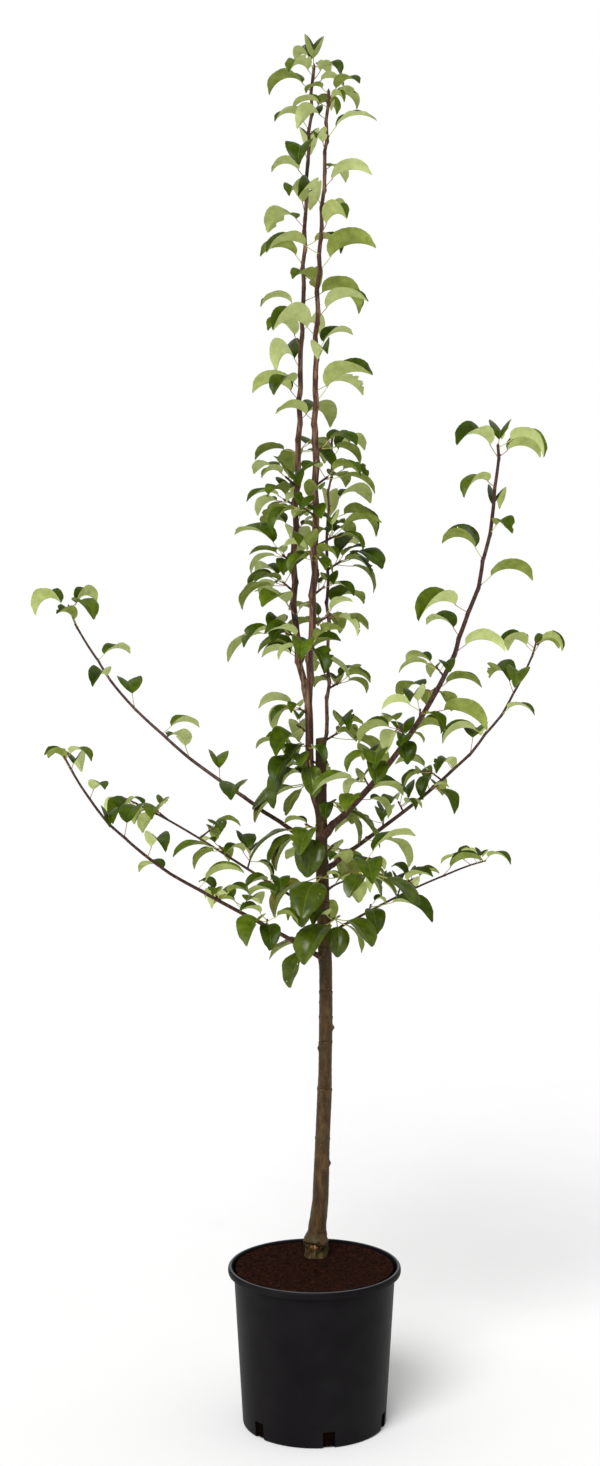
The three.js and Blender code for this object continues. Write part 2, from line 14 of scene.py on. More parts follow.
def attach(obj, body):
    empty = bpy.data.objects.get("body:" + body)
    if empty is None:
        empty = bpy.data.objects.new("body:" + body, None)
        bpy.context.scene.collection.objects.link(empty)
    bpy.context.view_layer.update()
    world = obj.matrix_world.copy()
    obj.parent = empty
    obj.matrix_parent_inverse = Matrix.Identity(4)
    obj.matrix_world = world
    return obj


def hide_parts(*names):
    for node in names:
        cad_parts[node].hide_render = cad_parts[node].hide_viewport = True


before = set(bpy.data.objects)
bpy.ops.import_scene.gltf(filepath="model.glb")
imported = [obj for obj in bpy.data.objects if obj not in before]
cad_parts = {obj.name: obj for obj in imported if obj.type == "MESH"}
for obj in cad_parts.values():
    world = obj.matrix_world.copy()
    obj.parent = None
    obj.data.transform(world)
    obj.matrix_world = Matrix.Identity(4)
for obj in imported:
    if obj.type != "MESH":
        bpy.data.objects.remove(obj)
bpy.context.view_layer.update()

MM = 0.001
UP = np.array([0.0, 0.0, 1.0])


def table(columns, rows):
    """A table's rows as records, each under its own name."""
    fields = columns.split()
    return {name: SimpleNamespace(**dict(zip(fields, row))) for name, row in rows.items()}


# ---- growth rule, as in the part's source (millimetres and degrees) ----
GAP = 0.3
POT_HEIGHT = 278
POT_FOOT_RADIUS = 124.7
POT_SHOULDER_RADIUS = 139.8
POT_RIM_RADIUS = 150
POT_SHOULDER = 265
POT_WALL = 2.6
POT_FLOOR = 3
SLOT_COUNT = 6
SLOT_WIDTH = 21
SLOT_HEIGHT = 29
SLOT_UNDER = 20
SLOT_FIRST_AZIMUTH = -79
SOIL_TOP = 268
TRUNK_BACK = 76
CURVE_PULL = 0.36
CURVE_STEPS = 200
TAPER = 0.6
FORK_STUB = 0.06
SIZE_SPREAD = 0.22
ANGLE_SPREAD = 0.25
FOLD_SPREAD = 0.55
TWIST_SPREAD = 30
GOLDEN_TURN = 0.381966
SITE_JITTER = 0.4
TURN_JITTER = 0.2
SEED_STRIDE = 100
SPUR_LIFT = 28
SPUR_LIFT_SPREAD = 30
SPUR_RADIUS = 2.1
SPUR_TWIG_RADIUS = 1.7
SPUR_LEAVES = 3
SPUR_FAN = 110
ROSETTE_SPREAD = 24
PETIOLE_RADIUS = 0.95
SAMPLE_STEP = 5
SAMPLE_MARGIN = 3
SPHERES_AT_MOST = 120000
LEAF_REACH = 190
BLADE_SPHERE = 5.2
BLADE_ROWS = 8
BLADE_COLUMNS = 4
OWN_SHARE = 0.5
ROOT_FREE = 24
TRIES = 5
TRY_TURN = 47
SHOOT_SIZE = [1.05, 0.85]
SPUR_LENGTH = [14, 30]
# how far apart a rosette's leaves stand, and their least and largest size
SPUR_ROSETTE = (2.6, 0.68, 1.08)
TIP_ROSETTE = (7, 0.5, 1.05)
# height above the compost, sideways lean, radius
TRUNK_STATIONS = [
    (0, 2.4, 20.5), (16, 2.8, 19.8), (26, 3.2, 22.4), (36, 4, 19.6), (44, 4.8, 17), (56, 6, 15.8),
    (101, 11.1, 14), (173, 13.7, 13.3), (245, 16, 12.8), (300, 18.2, 12.9), (330, 19.2, 12.1),
    (460, 20.2, 12), (512, 20, 11.7), (620, 16, 11.2), (724, 12.4, 10.6), (830, 11.5, 9.8),
    (922, 11.4, 9),
]
# a limb without a height starts at the fork's end; bare is its leafless share
LIMBS = table("height azimuth reach rise launch arrive radius bare", {
    "fork": (1059, 173, 22.5, 187, 63, 85, (7.9, 7), 1),
    "leader_left": (None, 124, 29, 472, 65, 93, (6.2, 5), 1),
    "leader_right": (None, -65, 27, 469, 84, 93, (6.8, 5.7), 1),
    "leader_third": (1128, 80, 64, 420, 38, 91, (3.9, 2.6), 1),
    "bough_left_upper": (989, 151.5, 529, 424, 30.6, 64.2, (4.6, 1.9), 0.2),
    "bough_left_middle": (880, 178, 353, 204, 27.5, 23.9, (3, 1.7), 0.14),
    "bough_left_lower": (796, -147.5, 504, 384, 34, 63.2, (4.5, 1.9), 0.16),
    "bough_right_upper": (1017, -45, 393, 662, 36.2, 89.4, (6.8, 2.5), 0.1),
    "bough_right_middle": (954, 29, 451, 394, 30.4, 69, (4.6, 1.9), 0.12),
    "bough_right_short": (917, -59, 158, 56, 29.5, 18.8, (2.2, 1.5), 0.24),
    "bough_right_lower": (839, 41, 400, 98, 18.5, 6.9, (2.8, 1.6), 0.16),
})
SHOOTS = table("azimuth reach rise launch arrive radius", {
    "leader_left": (44, 36, 628, 87.6, 84.4, (5, 2.7)),
    "leader_right": (-54, 37, 566, 91.2, 85, (5.6, 2.7)),
    "leader_third": (30, 12, 165, 90, 88, (2.5, 1.6)),
})
HABITS = table("blade petiole lift sway bend fold width", {
    "shoot": (79, 0.35, 40, 18, 98, 38, 0.325),
    "spur": (73, 0.4, 24, 32, 86, 28, 0.33),
    "old": (90, 0.38, -16, 24, 58, 12, 0.35),
})
# each limb's leafy part; spurs is the share of it that has spurs
MASSES = table("sites spurs tip facing fan habit seed", {
    "leader_left": (21, 0, 5, 190, 140, "shoot", 17),
    "leader_right": (20, 0, 5, -10, 140, "shoot", 48),
    "leader_third": (6, 0, 3, 30, 130, "spur", 57),
    "bough_left_upper": (8, 0, 4, 90, 180, "shoot", 65),
    "bough_left_middle": (6, 0.8, 3, 90, 180, "spur", 48),
    "bough_left_lower": (10, 0.3, 3, 90, 180, "shoot", 67),
    "bough_right_upper": (17, 0.5, 3, 90, 180, "shoot", 39),
    "bough_right_middle": (12, 0.4, 3, 90, 180, "shoot", 26),
    "bough_right_short": (2, 1, 3, 90, 180, "old", 23),
    "bough_right_lower": (5, 0.5, 3, 90, 180, "shoot", 67),
})
# lone spurs, with a rosette of leaves each, on the bare limbs and the trunk
CLUSTERS = table("count low high facing fan leaves habit seed", {
    "fork": (5, 0.2, 1, 190, 100, 6, "spur", 75),
    "leader_left": (9, 0.03, 0.97, 190, 120, 6, "spur", 44),
    "leader_right": (8, 0.08, 0.97, -20, 120, 6, "spur", 16),
    "leader_third": (4, 0.1, 0.95, 30, 110, 6, "spur", 28),
    "trunk": (9, 0.57, 0.97, 0, 180, 5, "old", 17),
})
TRUNK_FOOT = SOIL_TOP + GAP
TRUNK_HEIGHT = TRUNK_STATIONS[-1][0]
# small extra leaves, not in the solids: where on a twig or a lone spur, and their size
FINE_SEED = 90000
FINE_ON_TWIG = [0.5, 0.95]
FINE_ON_SPUR = [0.55, 0.97]
FINE_SIZE = [0.42, 0.8]
FINE_EASE = 0.72


def lerp(a, b, t):
    return a + (b - a) * t


def random_from(seed):
    """Seeded random numbers from 0 to 1."""
    state = [(seed * 7919 + 12345) % 2**32]

    def draw():
        state[0] = (state[0] * 1664525 + 1013904223) % 2**32
        return state[0] / 2**32

    draw()
    draw()
    return draw


def direction(azimuth, elevation):
    a, e = radians(azimuth), radians(elevation)
    return np.array([cos(a) * cos(e), sin(a) * cos(e), sin(e)])


def trunk_at(height):
    """Trunk axis and radius at a height."""
    above = min(max(height - TRUNK_FOOT, 0), TRUNK_HEIGHT)
    heights, leans, radii = zip(*TRUNK_STATIONS)
    centre = np.array([np.interp(above, heights, leans), TRUNK_BACK, TRUNK_FOOT + above])
    return centre, float(np.interp(above, heights, radii))


class Curve:
    """A limb's curve, whose ends rise at the launch and arrive elevations."""

    def __init__(self, start, spec):
        azimuth = spec.azimuth
        tip = start + direction(azimuth, 0) * spec.reach + UP * spec.rise
        pull = norm(tip - start) * CURVE_PULL
        self.knots = [start, start + direction(azimuth, spec.launch) * pull,
                      tip - direction(azimuth, spec.arrive) * pull, tip]
        points = [self.point(i / CURVE_STEPS) for i in range(CURVE_STEPS + 1)]
        self.length = sum(norm(b - a) for a, b in zip(points, points[1:]))

    def point(self, t):
        k = 1 - t
        p = self.knots
        return k**3 * p[0] + 3 * k * k * t * p[1] + 3 * k * t * t * p[2] + t**3 * p[3]

    def tangent(self, t):
        step = self.point(min(1, t + 1e-4)) - self.point(max(0, t - 1e-4))
        return step / norm(step)


class Stretch:
    """A stretch of a curve as a stem."""

    def __init__(self, curve, radius, begin, end):
        self.curve, self.radius, self.begin, self.end = curve, radius, begin, end
        self.length = curve.length * (end - begin)

    def at(self, share):
        """Point, tangent and radius at a share of the stem's length."""
        u = lerp(self.begin, self.end, share)
        return self.curve.point(u), self.curve.tangent(u), lerp(*self.radius, u**TAPER)


class Straight:
    """A straight stem."""

    def __init__(self, start, along, length, radius):
        self.start, self.along, self.length, self.radius = start, along, length, radius

    def at(self, share):
        return self.start + self.along * self.length * share, self.along, lerp(*self.radius, share)


class TrunkStem:
    length = TRUNK_HEIGHT

    def at(self, share):
        centre, radius = trunk_at(TRUNK_FOOT + share * TRUNK_HEIGHT)
        return centre, UP, radius


class Space:
    """Keep-out spheres of every piece, filled as the pieces are grown."""

    def __init__(self):
        # point, radius and owner
        self.spheres, self.count, self.names = np.zeros((SPHERES_AT_MOST, 5)), 0, {}

    def owner(self, name):
        return self.names.setdefault(name, len(self.names))

    def add(self, name, points, radii):
        end = self.count + len(points)
        owners = np.full(len(points), self.owner(name))
        self.spheres[self.count:end] = np.column_stack([points, radii, owners])
        self.count = end

    def add_stem(self, name, stem):
        count = ceil(stem.length / SAMPLE_STEP)
        spots = [stem.at(i / count) for i in range(count + 1)]
        self.add(name, [s[0] for s in spots], [s[2] + SAMPLE_MARGIN for s in spots])

    def clear(self, points, radii, name, root, ease):
        """Whether spheres are free of all others, less strictly of their own piece's."""
        spheres = self.spheres[:self.count]
        near = spheres[((spheres[:, :3] - root) ** 2).sum(1) < LEAF_REACH**2]
        others, reach, mine = near[:, :3], near[:, 3], near[:, 4] == self.owner(name)
        at_root = norm(points - root, axis=1) < ROOT_FREE
        others_at_root = norm(others - root, axis=1) < ROOT_FREE
        apart = ((points[:, None] - others[None]) ** 2).sum(2)
        limit = (radii[:, None] + reach[None]) * np.where(mine, OWN_SHARE, 1.0)[None] * ease
        free = mine[None] & (at_root[:, None] | others_at_root[None])
        return not np.any((apart < limit * limit) & ~free)


def leaf_shape(root, azimuth, habit, size, draw):
    def vary(spread):
        return 1 + spread * (2 * draw() - 1)

    blade = habit.blade * size * vary(SIZE_SPREAD)
    return SimpleNamespace(
        root=root, azimuth=azimuth, old=habit is HABITS["old"], shoot=habit is HABITS["shoot"],
        blade=blade,
        petiole=blade * habit.petiole * vary(SIZE_SPREAD),
        lift=habit.lift + habit.sway * (2 * draw() - 1),
        bend=radians(habit.bend * vary(ANGLE_SPREAD)),
        fold=radians(habit.fold * vary(FOLD_SPREAD)),
        twist=radians(TWIST_SPREAD * (2 * draw() - 1)),
        half=blade * habit.width * vary(ANGLE_SPREAD / 2))


def outline(s):
    """Half width of the blade along its midrib, as a share of the widest."""
    inside = np.clip(np.sin(pi * np.clip(s, 0, 1) ** 0.84), 0, 1)
    return inside**0.75 * (1 - 0.1 * s)


def blade_frame(leaf, s):
    """Midrib, sideways and upward directions of the blade at shares s of its length."""
    s = s[:, None]
    out, flat = direction(leaf.azimuth, 0), direction(leaf.azimuth + 90, 0)
    start = radians(leaf.lift)
    pitch = start - leaf.bend * s
    arc = leaf.blade / leaf.bend
    middle = (leaf.root + direction(leaf.azimuth, leaf.lift) * leaf.petiole
              + out * arc * (sin(start) - np.sin(pitch)) + UP * arc * (np.cos(pitch) - cos(start)))
    over = UP * np.cos(pitch) - out * np.sin(pitch)
    turn = leaf.twist * s
    side = flat * np.cos(turn) + over * np.sin(turn)
    return middle, side, over * np.cos(turn) - flat * np.sin(turn)


def leaf_spheres(leaf):
    """Keep-out spheres along a leaf's stalk and in a grid over its blade."""
    along = direction(leaf.azimuth, leaf.lift)
    count = ceil(leaf.petiole / SAMPLE_STEP)
    stalk = [leaf.root + along * leaf.petiole * i / count for i in range(1, count + 1)]
    rows = np.arange(1, BLADE_ROWS + 1) / BLADE_ROWS
    columns = np.arange(-BLADE_COLUMNS, BLADE_COLUMNS + 1) / BLADE_COLUMNS
    middle, side, normal = blade_frame(leaf, rows)
    width = leaf.half * outline(rows)[:, None] * columns[None]
    blade = (middle[:, None] + side[:, None] * (width * cos(leaf.fold))[..., None]
             + normal[:, None] * (np.abs(width) * sin(leaf.fold))[..., None]).reshape(-1, 3)
    radii = [PETIOLE_RADIUS + SAMPLE_MARGIN] * count + [BLADE_SPHERE] * len(blade)
    return np.vstack([stalk, blade]), np.array(radii)


class Mass:
    """A leafy stem with its twigs, leaves and leaf sites, or a lone spur, which has no spec."""

    def __init__(self, name, stem, spec=None):
        self.name, self.stem, self.spec = name, stem, spec
        self.twigs, self.leaves, self.sites = [], [], []

    def spurs(self):
        return self.twigs if self.spec else [self.stem]


def grow_leaf(mass, root, azimuth, habit, size, draw, ease=1.0):
    """One leaf, turned a few times if it is in the way, or none."""
    leaf = leaf_shape(root, azimuth, habit, size, draw)
    for attempt in range(TRIES):
        points, radii = leaf_spheres(leaf)
        if space.clear(points, radii, mass.name, root, ease):
            space.add(mass.name, points, radii)
            mass.leaves.append(leaf)
            return
        leaf.azimuth += TRY_TURN * (attempt + 1) * (-1 if attempt % 2 else 1)


def grow_rosette(mass, stem, facing, fan, count, habit, rosette, draw):
    """Leaves fanned round a stem's end, with their roots close together."""
    pitch, low, high = rosette
    for i in range(count):
        azimuth = facing + fan * ((2 * (i + 0.5)) / count - 1) + ROSETTE_SPREAD * (draw() - 0.5)
        root = stem.at(1 - (i + 0.6) * pitch / stem.length)[0]
        grow_leaf(mass, root, azimuth, habit, lerp(low, high, draw()), draw)


def spiral_site(spec, site, count, draw):
    """Share along a stem and azimuth of one of its sites."""
    share = (site + 0.5 + SITE_JITTER * (draw() - 0.5)) / count
    turn = (site * GOLDEN_TURN + draw() * TURN_JITTER) % 1
    return share, spec.facing + spec.fan * (2 * turn - 1)


def grow_shoot(mass, spec):
    """Leaves and spurs in a spiral along a mass's stem, and a rosette at its tip."""
    habit = HABITS[spec.habit]
    for site in range(spec.sites):
        draw = random_from(spec.seed * SEED_STRIDE + site)
        share, azimuth = spiral_site(spec, site, spec.sites, draw)
        point = mass.stem.at(share)[0]
        if share < spec.spurs:
            along = direction(azimuth, SPUR_LIFT + SPUR_LIFT_SPREAD * draw())
            twig = Straight(point, along, lerp(*SPUR_LENGTH, draw()),
                            [SPUR_TWIG_RADIUS, SPUR_TWIG_RADIUS * 0.8])
            mass.twigs.append(twig)
            space.add_stem(mass.name, twig)
            grow_rosette(mass, twig, azimuth, SPUR_FAN, SPUR_LEAVES, HABITS["spur"],
                         SPUR_ROSETTE, draw)
        else:
            grow_leaf(mass, point, azimuth, habit, lerp(*SHOOT_SIZE, share), draw)
            mass.sites.append((share, azimuth))
    draw = random_from(spec.seed * SEED_STRIDE + SEED_STRIDE - 1)
    grow_rosette(mass, mass.stem, spec.facing, 180, spec.tip, habit, TIP_ROSETTE, draw)


def grow_fine(mass, index):
    """Small extra leaves on each spur, finer than the solids'."""
    for k, stem in enumerate(mass.spurs()):
        draw = random_from(FINE_SEED + 100 * index + k)
        root = stem.at(lerp(*(FINE_ON_TWIG if mass.spec else FINE_ON_SPUR), draw()))[0]
        grow_leaf(mass, root, 360 * draw(), HABITS["spur"], lerp(*FINE_SIZE, draw()), draw,
                  FINE_EASE)


space = Space()
limbs, leafy_parts = {"trunk": TrunkStem()}, {}
space.add_stem("trunk", limbs["trunk"])
for name, spec in LIMBS.items():
    on_fork = not spec.height
    curve = Curve(limbs["fork"].at(1)[0] if on_fork else trunk_at(spec.height)[0], spec)
    gap = GAP / curve.length
    limbs[name] = Stretch(curve, spec.radius, FORK_STUB + gap if on_fork else 0, spec.bare)
    if name == "fork":
        space.add_stem("trunk", limbs[name])
        continue
    space.add_stem(name, limbs[name])
    shoot = SHOOTS.get(name)
    if shoot:
        leafy = Curve(curve.point(1), shoot)
        stem = Stretch(leafy, shoot.radius, GAP / leafy.length, 1)
    else:
        stem = Stretch(curve, spec.radius, spec.bare + gap, 1)
    title = name + ("_shoot" if shoot else "_foliage")
    leafy_parts[name] = Mass(title, stem, MASSES[name])
masses = list(leafy_parts.values())
for mass in masses:
    space.add_stem(mass.name, mass.stem)
for name, row in CLUSTERS.items():
    for i in range(row.count):
        draw = random_from(row.seed * SEED_STRIDE + i)
        share, azimuth = spiral_site(row, i, row.count, draw)
        point, _, radius = limbs[name].at(lerp(row.low, row.high, share))
        length = radius + lerp(*SPUR_LENGTH, draw())
        along = direction(azimuth, SPUR_LIFT)
        mass = Mass(f"{name}_spur_{i + 1}",
                    Straight(point, along, length, [SPUR_RADIUS, SPUR_TWIG_RADIUS]))
        surface = mass.stem.at(radius / length)[0]
        space.add_stem(mass.name, Straight(surface, along, length - radius, [1, 1]))
        masses.append(mass)
        grow_rosette(mass, mass.stem, azimuth, SPUR_FAN, row.leaves + (i % 3) - 1,
                     HABITS[row.habit], SPUR_ROSETTE, draw)
for mass in leafy_parts.values():
    grow_shoot(mass, mass.spec)
for index, mass in enumerate(masses):
    grow_fine(mass, index)

# ---- meshes ----
scene = bpy.context.scene


def add_object(name, data):
    thing = bpy.data.objects.new(name, data)
    scene.collection.objects.link(thing)
    return thing


def smooth_mesh(name, points, faces):
    """A smooth-shaded mesh from points in millimetres."""
    mesh = bpy.data.meshes.new(name)
    mesh.from_pydata((points * MM).tolist(), [], faces)
    mesh.polygons.foreach_set("use_smooth", [True] * len(mesh.polygons))
    return mesh


def declare(piece, replaced=()):
    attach(piece, "root")
    if replaced:
        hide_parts(*replaced)


class Builder:
    """Collects one mesh's vertices, faces and material indices."""

    def __init__(self):
        self.points, self.faces, self.slots, self.count = [], [], [], 0

    def add(self, points, faces, slots):
        points = np.asarray(points, float).reshape(-1, 3)
        self.points.append(points)
        self.faces.extend([tuple(i + self.count for i in face) for face in faces])
        self.slots.extend([slots] * len(faces) if isinstance(slots, int) else slots)
        self.count += len(points)

    def piece(self, name, materials, slot, replaced=()):
        mesh = smooth_mesh(name, np.vstack(self.points), self.faces)
        for material in materials:
            mesh.materials.append(material)
        mesh.polygons.foreach_set("material_index", self.slots)
        mesh.set_sharp_from_angle(angle=radians(65))
        mesh.update()
        declare(add_object(name, mesh), replaced)


def circle(sides):
    return np.arange(sides) * tau / sides


def ring_faces(rings, sides):
    """Faces of a tube: its wall, then its first and last end."""
    faces = []
    for ring in range(rings - 1):
        for i in range(sides):
            a, b = ring * sides + i, ring * sides + (i + 1) % sides
            faces.append((a, b, b + sides, a + sides))
    return faces + [tuple(reversed(range(sides))), tuple(range((rings - 1) * sides, rings * sides))]


def capped_faces(rings, sides):
    """Faces of rings between two end points, outwards if the first point is on top."""
    faces, last = [], 1 + rings * sides
    for i in range(sides):
        j = (i + 1) % sides
        faces.append((0, 1 + i, 1 + j))
        for a in range(1, last - sides, sides):
            b = a + sides
            faces.append((a + i, b + i, b + j, a + j))
        faces.append((last - sides + i, last, last - sides + j))
    return faces


class Ripple:
    """Smooth seeded noise over angle (whole waves round) and distance."""

    def __init__(self, seed, waves=10, around=5, along=0.2):
        draw = random_from(seed)
        self.terms = []
        for _ in range(waves):
            turns = round(lerp(-around, around, draw()))
            pace = along * lerp(0.2, 1, draw()) * (1 if draw() > 0.5 else -1)
            self.terms.append((turns, pace, tau * draw(), lerp(0.4, 1, draw())))
        self.scale = 1 / sqrt(sum(t[3] ** 2 for t in self.terms) / 2)

    def __call__(self, angle, distance):
        total = 0
        for turns, pace, phase, weight in self.terms:
            total += weight * np.sin(turns * angle + pace * distance + phase)
        return total * self.scale / 2


def bell(x, width, power=2):
    """A smooth bump, 1 at 0."""
    return np.exp(-((x / width) ** power))


def skin(builder, points, radii, sides, slot, relief=lambda angle, distance: 0 * angle):
    """A closed tube through points, with relief(angle, distance) added to its radius."""
    points = np.asarray(points, float)
    steps = np.diff(points, axis=0)
    tangents = np.vstack([steps[:1], steps[1:] + steps[:-1], steps[-1:]])
    tangents /= norm(tangents, axis=1)[:, None]
    distance = np.concatenate([[0], np.cumsum(norm(steps, axis=1))])
    angle = circle(sides)
    side = np.array([1.0, 0, 0]) if abs(tangents[0][0]) < 0.9 else np.array([0, 1.0, 0])
    rings = []
    for i, tangent in enumerate(tangents):
        side -= tangent * side.dot(tangent)
        side /= norm(side)
        thick = radii[i] + relief(angle, distance[i])
        rings.append(points[i] + np.outer(np.cos(angle) * thick, side)
                     + np.outer(np.sin(angle) * thick, np.cross(tangent, side)))
    builder.add(np.vstack(rings), ring_faces(len(points), sides), slot)


# ---- materials ----
RAMP_LOW, RAMP_HIGH = 0.32, 0.68
PATCH_EDGE = 0.1


def set_inputs(tree, node, inputs):
    """Sets each input of a shader node to a value, or links it to a socket."""
    for key, value in inputs.items():
        if isinstance(value, bpy.types.NodeSocket):
            tree.links.new(value, node.inputs[key])
        else:
            node.inputs[key].default_value = value


def add_node(tree, kind, output, inputs, **settings):
    """An output socket of a new shader node."""
    node = tree.nodes.new("ShaderNode" + kind)
    for key, value in settings.items():
        setattr(node, key, value)
    set_inputs(tree, node, inputs)
    return node.outputs[output]


def linear(colour):
    """A colour given as it looks, from 0 to 255, as linear values."""
    return *(((c / 255 + 0.055) / 1.055) ** 2.4 if c > 10 else c / 255 / 12.92 for c in colour), 1


def tinted(tree, colour, tint, field, none, full):
    """A colour with a tint over it where a field goes from none to full."""
    share = add_node(tree, "MapRange", "Result",
                     {"Value": field, "From Min": none, "From Max": full})
    return add_node(tree, "Mix", "Result", {"Factor": share, "A": colour, "B": linear(tint)},
                    data_type="RGBA")


def look(name, shades, scale, roughness, stretch=1, bump=(0.2, None, 0.0004), specular=0.5,
         over=None, dots=None, ior=1.5):
    """A material whose colour wanders through shades. bump is relief (strength, scale, depth), over
    a tint in patches (colour, scale, share), and dots are specks (colour, scale, radius)."""
    material = bpy.data.materials.new(name)
    material.use_nodes = True
    tree = material.node_tree
    where = add_node(tree, "TexCoord", "Object", {})
    place = add_node(tree, "Mapping", "Vector", {"Vector": where, "Scale": (1, 1, stretch)})
    noise = {"Vector": place, "Scale": scale, "Detail": 5, "Roughness": 0.6}
    ramp = tree.nodes.new("ShaderNodeValToRGB")
    set_inputs(tree, ramp, {"Fac": add_node(tree, "TexNoise", "Fac", noise)})
    stops = ramp.color_ramp.elements
    stops[0].position, stops[0].color = RAMP_LOW, linear(shades[0])
    stops[1].position, stops[1].color = RAMP_HIGH, linear(shades[-1])
    for i, shade in enumerate(shades[1:-1]):
        stops.new(lerp(RAMP_LOW, RAMP_HIGH, (i + 1) / (len(shades) - 1))).color = linear(shade)
    colour = ramp.outputs["Color"]
    if over:
        tint, size, share = over
        patch = add_node(tree, "TexNoise", "Fac", {"Vector": where, "Scale": size, "Detail": 3})
        colour = tinted(tree, colour, tint, patch, 1 - share - PATCH_EDGE, 1 - share + PATCH_EDGE)
    if dots:
        tint, size, radius = dots
        flat = add_node(tree, "Mapping", "Vector", {"Vector": where, "Scale": (0.6, 0.6, 1.6)})
        cells = add_node(tree, "TexVoronoi", "Distance", {"Vector": flat, "Scale": size})
        colour = tinted(tree, colour, tint, cells, radius, radius * 0.3)
    shader = {"Base Color": colour, "Roughness": roughness, "Specular IOR Level": specular,
              "IOR": ior}
    if bump:
        strength, size, depth = bump
        grain = {"Vector": place, "Scale": size or scale * 4, "Detail": 4}
        height = add_node(tree, "TexNoise", "Fac", grain)
        shader["Normal"] = add_node(tree, "Bump", "Normal", {
            "Strength": strength, "Distance": depth, "Height": height})
    set_inputs(tree, tree.nodes["Principled BSDF"], shader)
    return material


POT = look("pot_plastic", [(16, 14, 16), (22, 20, 22)], 18, 0.5, bump=(0.1, 900, 0.0002),
           over=((27, 26, 27), 7, 0.36), ior=1.14)
# the rim's top is a lighter grey: a painted highlight along the lip
LIP_HIGHLIGHT = look("pot_lip", [(64, 64, 67), (84, 84, 87)], 30, 0.4, bump=(0.1, 900, 0.0002), specular=0.3)
# the pot's inner wall is near black: painted shade
INNER_WALL_SHADE = look("pot_inner_wall", [(9, 8, 9), (15, 14, 15)], 30, 0.6, bump=(0.1, 900, 0.0002),
              ior=1.1)
COMPOST = look("compost_peat", [(9, 4, 2), (32, 14, 8), (60, 28, 16)], 160, 0.95,
               bump=(0.9, 420, 0.002), specular=0.04)
# the compost's side and underside against the pot are darker: painted shade
SHADED_PEAT = look("compost_deep", [(6, 3, 2), (14, 7, 4)], 160, 0.95, specular=0.02)
CRUMB = look("compost_crumb", [(16, 7, 4), (54, 26, 15)], 300, 0.95, bump=(0.6, 900, 0.001),
             specular=0.04)
FIBRE = look("compost_fibre", [(34, 19, 12), (64, 39, 25)], 200, 0.9, specular=0.04)
BARK = look("bark_trunk", [(50, 35, 19), (68, 50, 28), (92, 70, 42)], 120, 0.48, stretch=0.3,
            bump=(0.5, 460, 0.0008), over=((60, 49, 24), 12, 0.4), dots=((104, 84, 54), 220, 0.24),
            ior=1.26)
# darker bark in the groove above each ring's ridge: painted shade
RING_GROOVE_SHADE = look("bark_ring", [(40, 27, 15), (56, 40, 23), (74, 55, 33)], 160, 0.6, stretch=0.5,
            bump=(0.5, 460, 0.0008), ior=1.2)
# dark bark in the crack above the stump and in the wound's hollow: painted shade
CREASE_SHADE = look("bark_crease", [(34, 22, 14), (58, 42, 27)], 160, 0.8, bump=(0.5, 400, 0.0004),
              specular=0.05)
STUMP = look("bark_stump", [(36, 26, 15), (68, 54, 32), (104, 87, 56)], 140, 0.7, stretch=0.5,
             bump=(0.8, 420, 0.002), over=((66, 60, 26), 34, 0.34), ior=1.2)
WOUND = look("wood_cut", [(82, 52, 27), (138, 99, 56), (190, 152, 102)], 420, 0.8,
             bump=(0.9, 500, 0.001), specular=0.06)
SAWN = look("wood_weathered", [(70, 58, 44), (122, 104, 80)], 200, 0.85, bump=(0.5, 500, 0.0004),
            specular=0.06)
YOUNG = look("bark_young", [(47, 26, 19), (86, 54, 38), (156, 122, 94)], 210, 0.4, stretch=0.09,
             bump=(0.4, 300, 0.0005), over=((56, 33, 27), 13, 0.42),
             dots=((150, 122, 96), 260, 0.2), ior=1.33)
BOUGH = look("bark_bough", [(40, 20, 18), (66, 38, 31), (98, 69, 54)], 210, 0.45, stretch=0.4,
             bump=(0.5, 340, 0.0006), over=((74, 56, 45), 20, 0.34), dots=((124, 96, 78), 300, 0.2),
             ior=1.33)
BUD = look("bud_scales", [(60, 38, 26), (118, 90, 58)], 400, 0.6, bump=(0.4, 900, 0.0004),
           specular=0.1)

# three shades each for young tops, old tops and undersides: two tints, roughness and shine
BLADE_SHADES = 3
LEAF_LOOKS = [
    look("leaf_" + name, tints, 64, rough, bump=(0.2, 420, 0.0004), specular=shine)
    for name, tints, rough, shine in (
        ("top_deep", [(40, 55, 1), (64, 83, 6)], 0.32, 0.12),
        ("top_mid", [(50, 67, 2), (77, 96, 9)], 0.32, 0.12),
        ("top_light", [(63, 80, 6), (92, 110, 19)], 0.36, 0.12),
        ("old_deep", [(48, 62, 3), (74, 90, 9)], 0.28, 0.32),
        ("old_mid", [(59, 75, 4), (88, 106, 16)], 0.28, 0.32),
        ("old_bronzed", [(86, 90, 14), (110, 102, 34)], 0.34, 0.24),
        ("under_pale", [(184, 197, 120), (208, 219, 146)], 0.6, 0.1),
        ("under_mid", [(162, 175, 96), (191, 202, 124)], 0.6, 0.1),
        ("under_green", [(121, 135, 54), (156, 169, 84)], 0.6, 0.1))
] + [
    look("leaf_rib", [(176, 188, 108), (200, 210, 132)], 200, 0.5, specular=0.1),
    look("leaf_rib_above", [(86, 104, 30), (108, 126, 44)], 200, 0.4, specular=0.15),
    look("leaf_stalk", [(168, 168, 92), (206, 208, 132)], 60, 0.5, specular=0.15),
    look("leaf_stalk_blushed", [(150, 96, 80), (186, 158, 116)], 60, 0.5, specular=0.15),
]
RIB_SLOT, VEIN_SLOT, STALK_SLOT, BLUSHED_SLOT = range(3 * BLADE_SHADES, len(LEAF_LOOKS))

# ---- leaves ----
BLADE_V = np.array([-1, -0.82, -0.56, -0.3, -0.11, -0.018, 0.018, 0.11, 0.3, 0.56, 0.82, 1])
VEIN_SLANT = 0.1
BLADE_THICK = 0.42
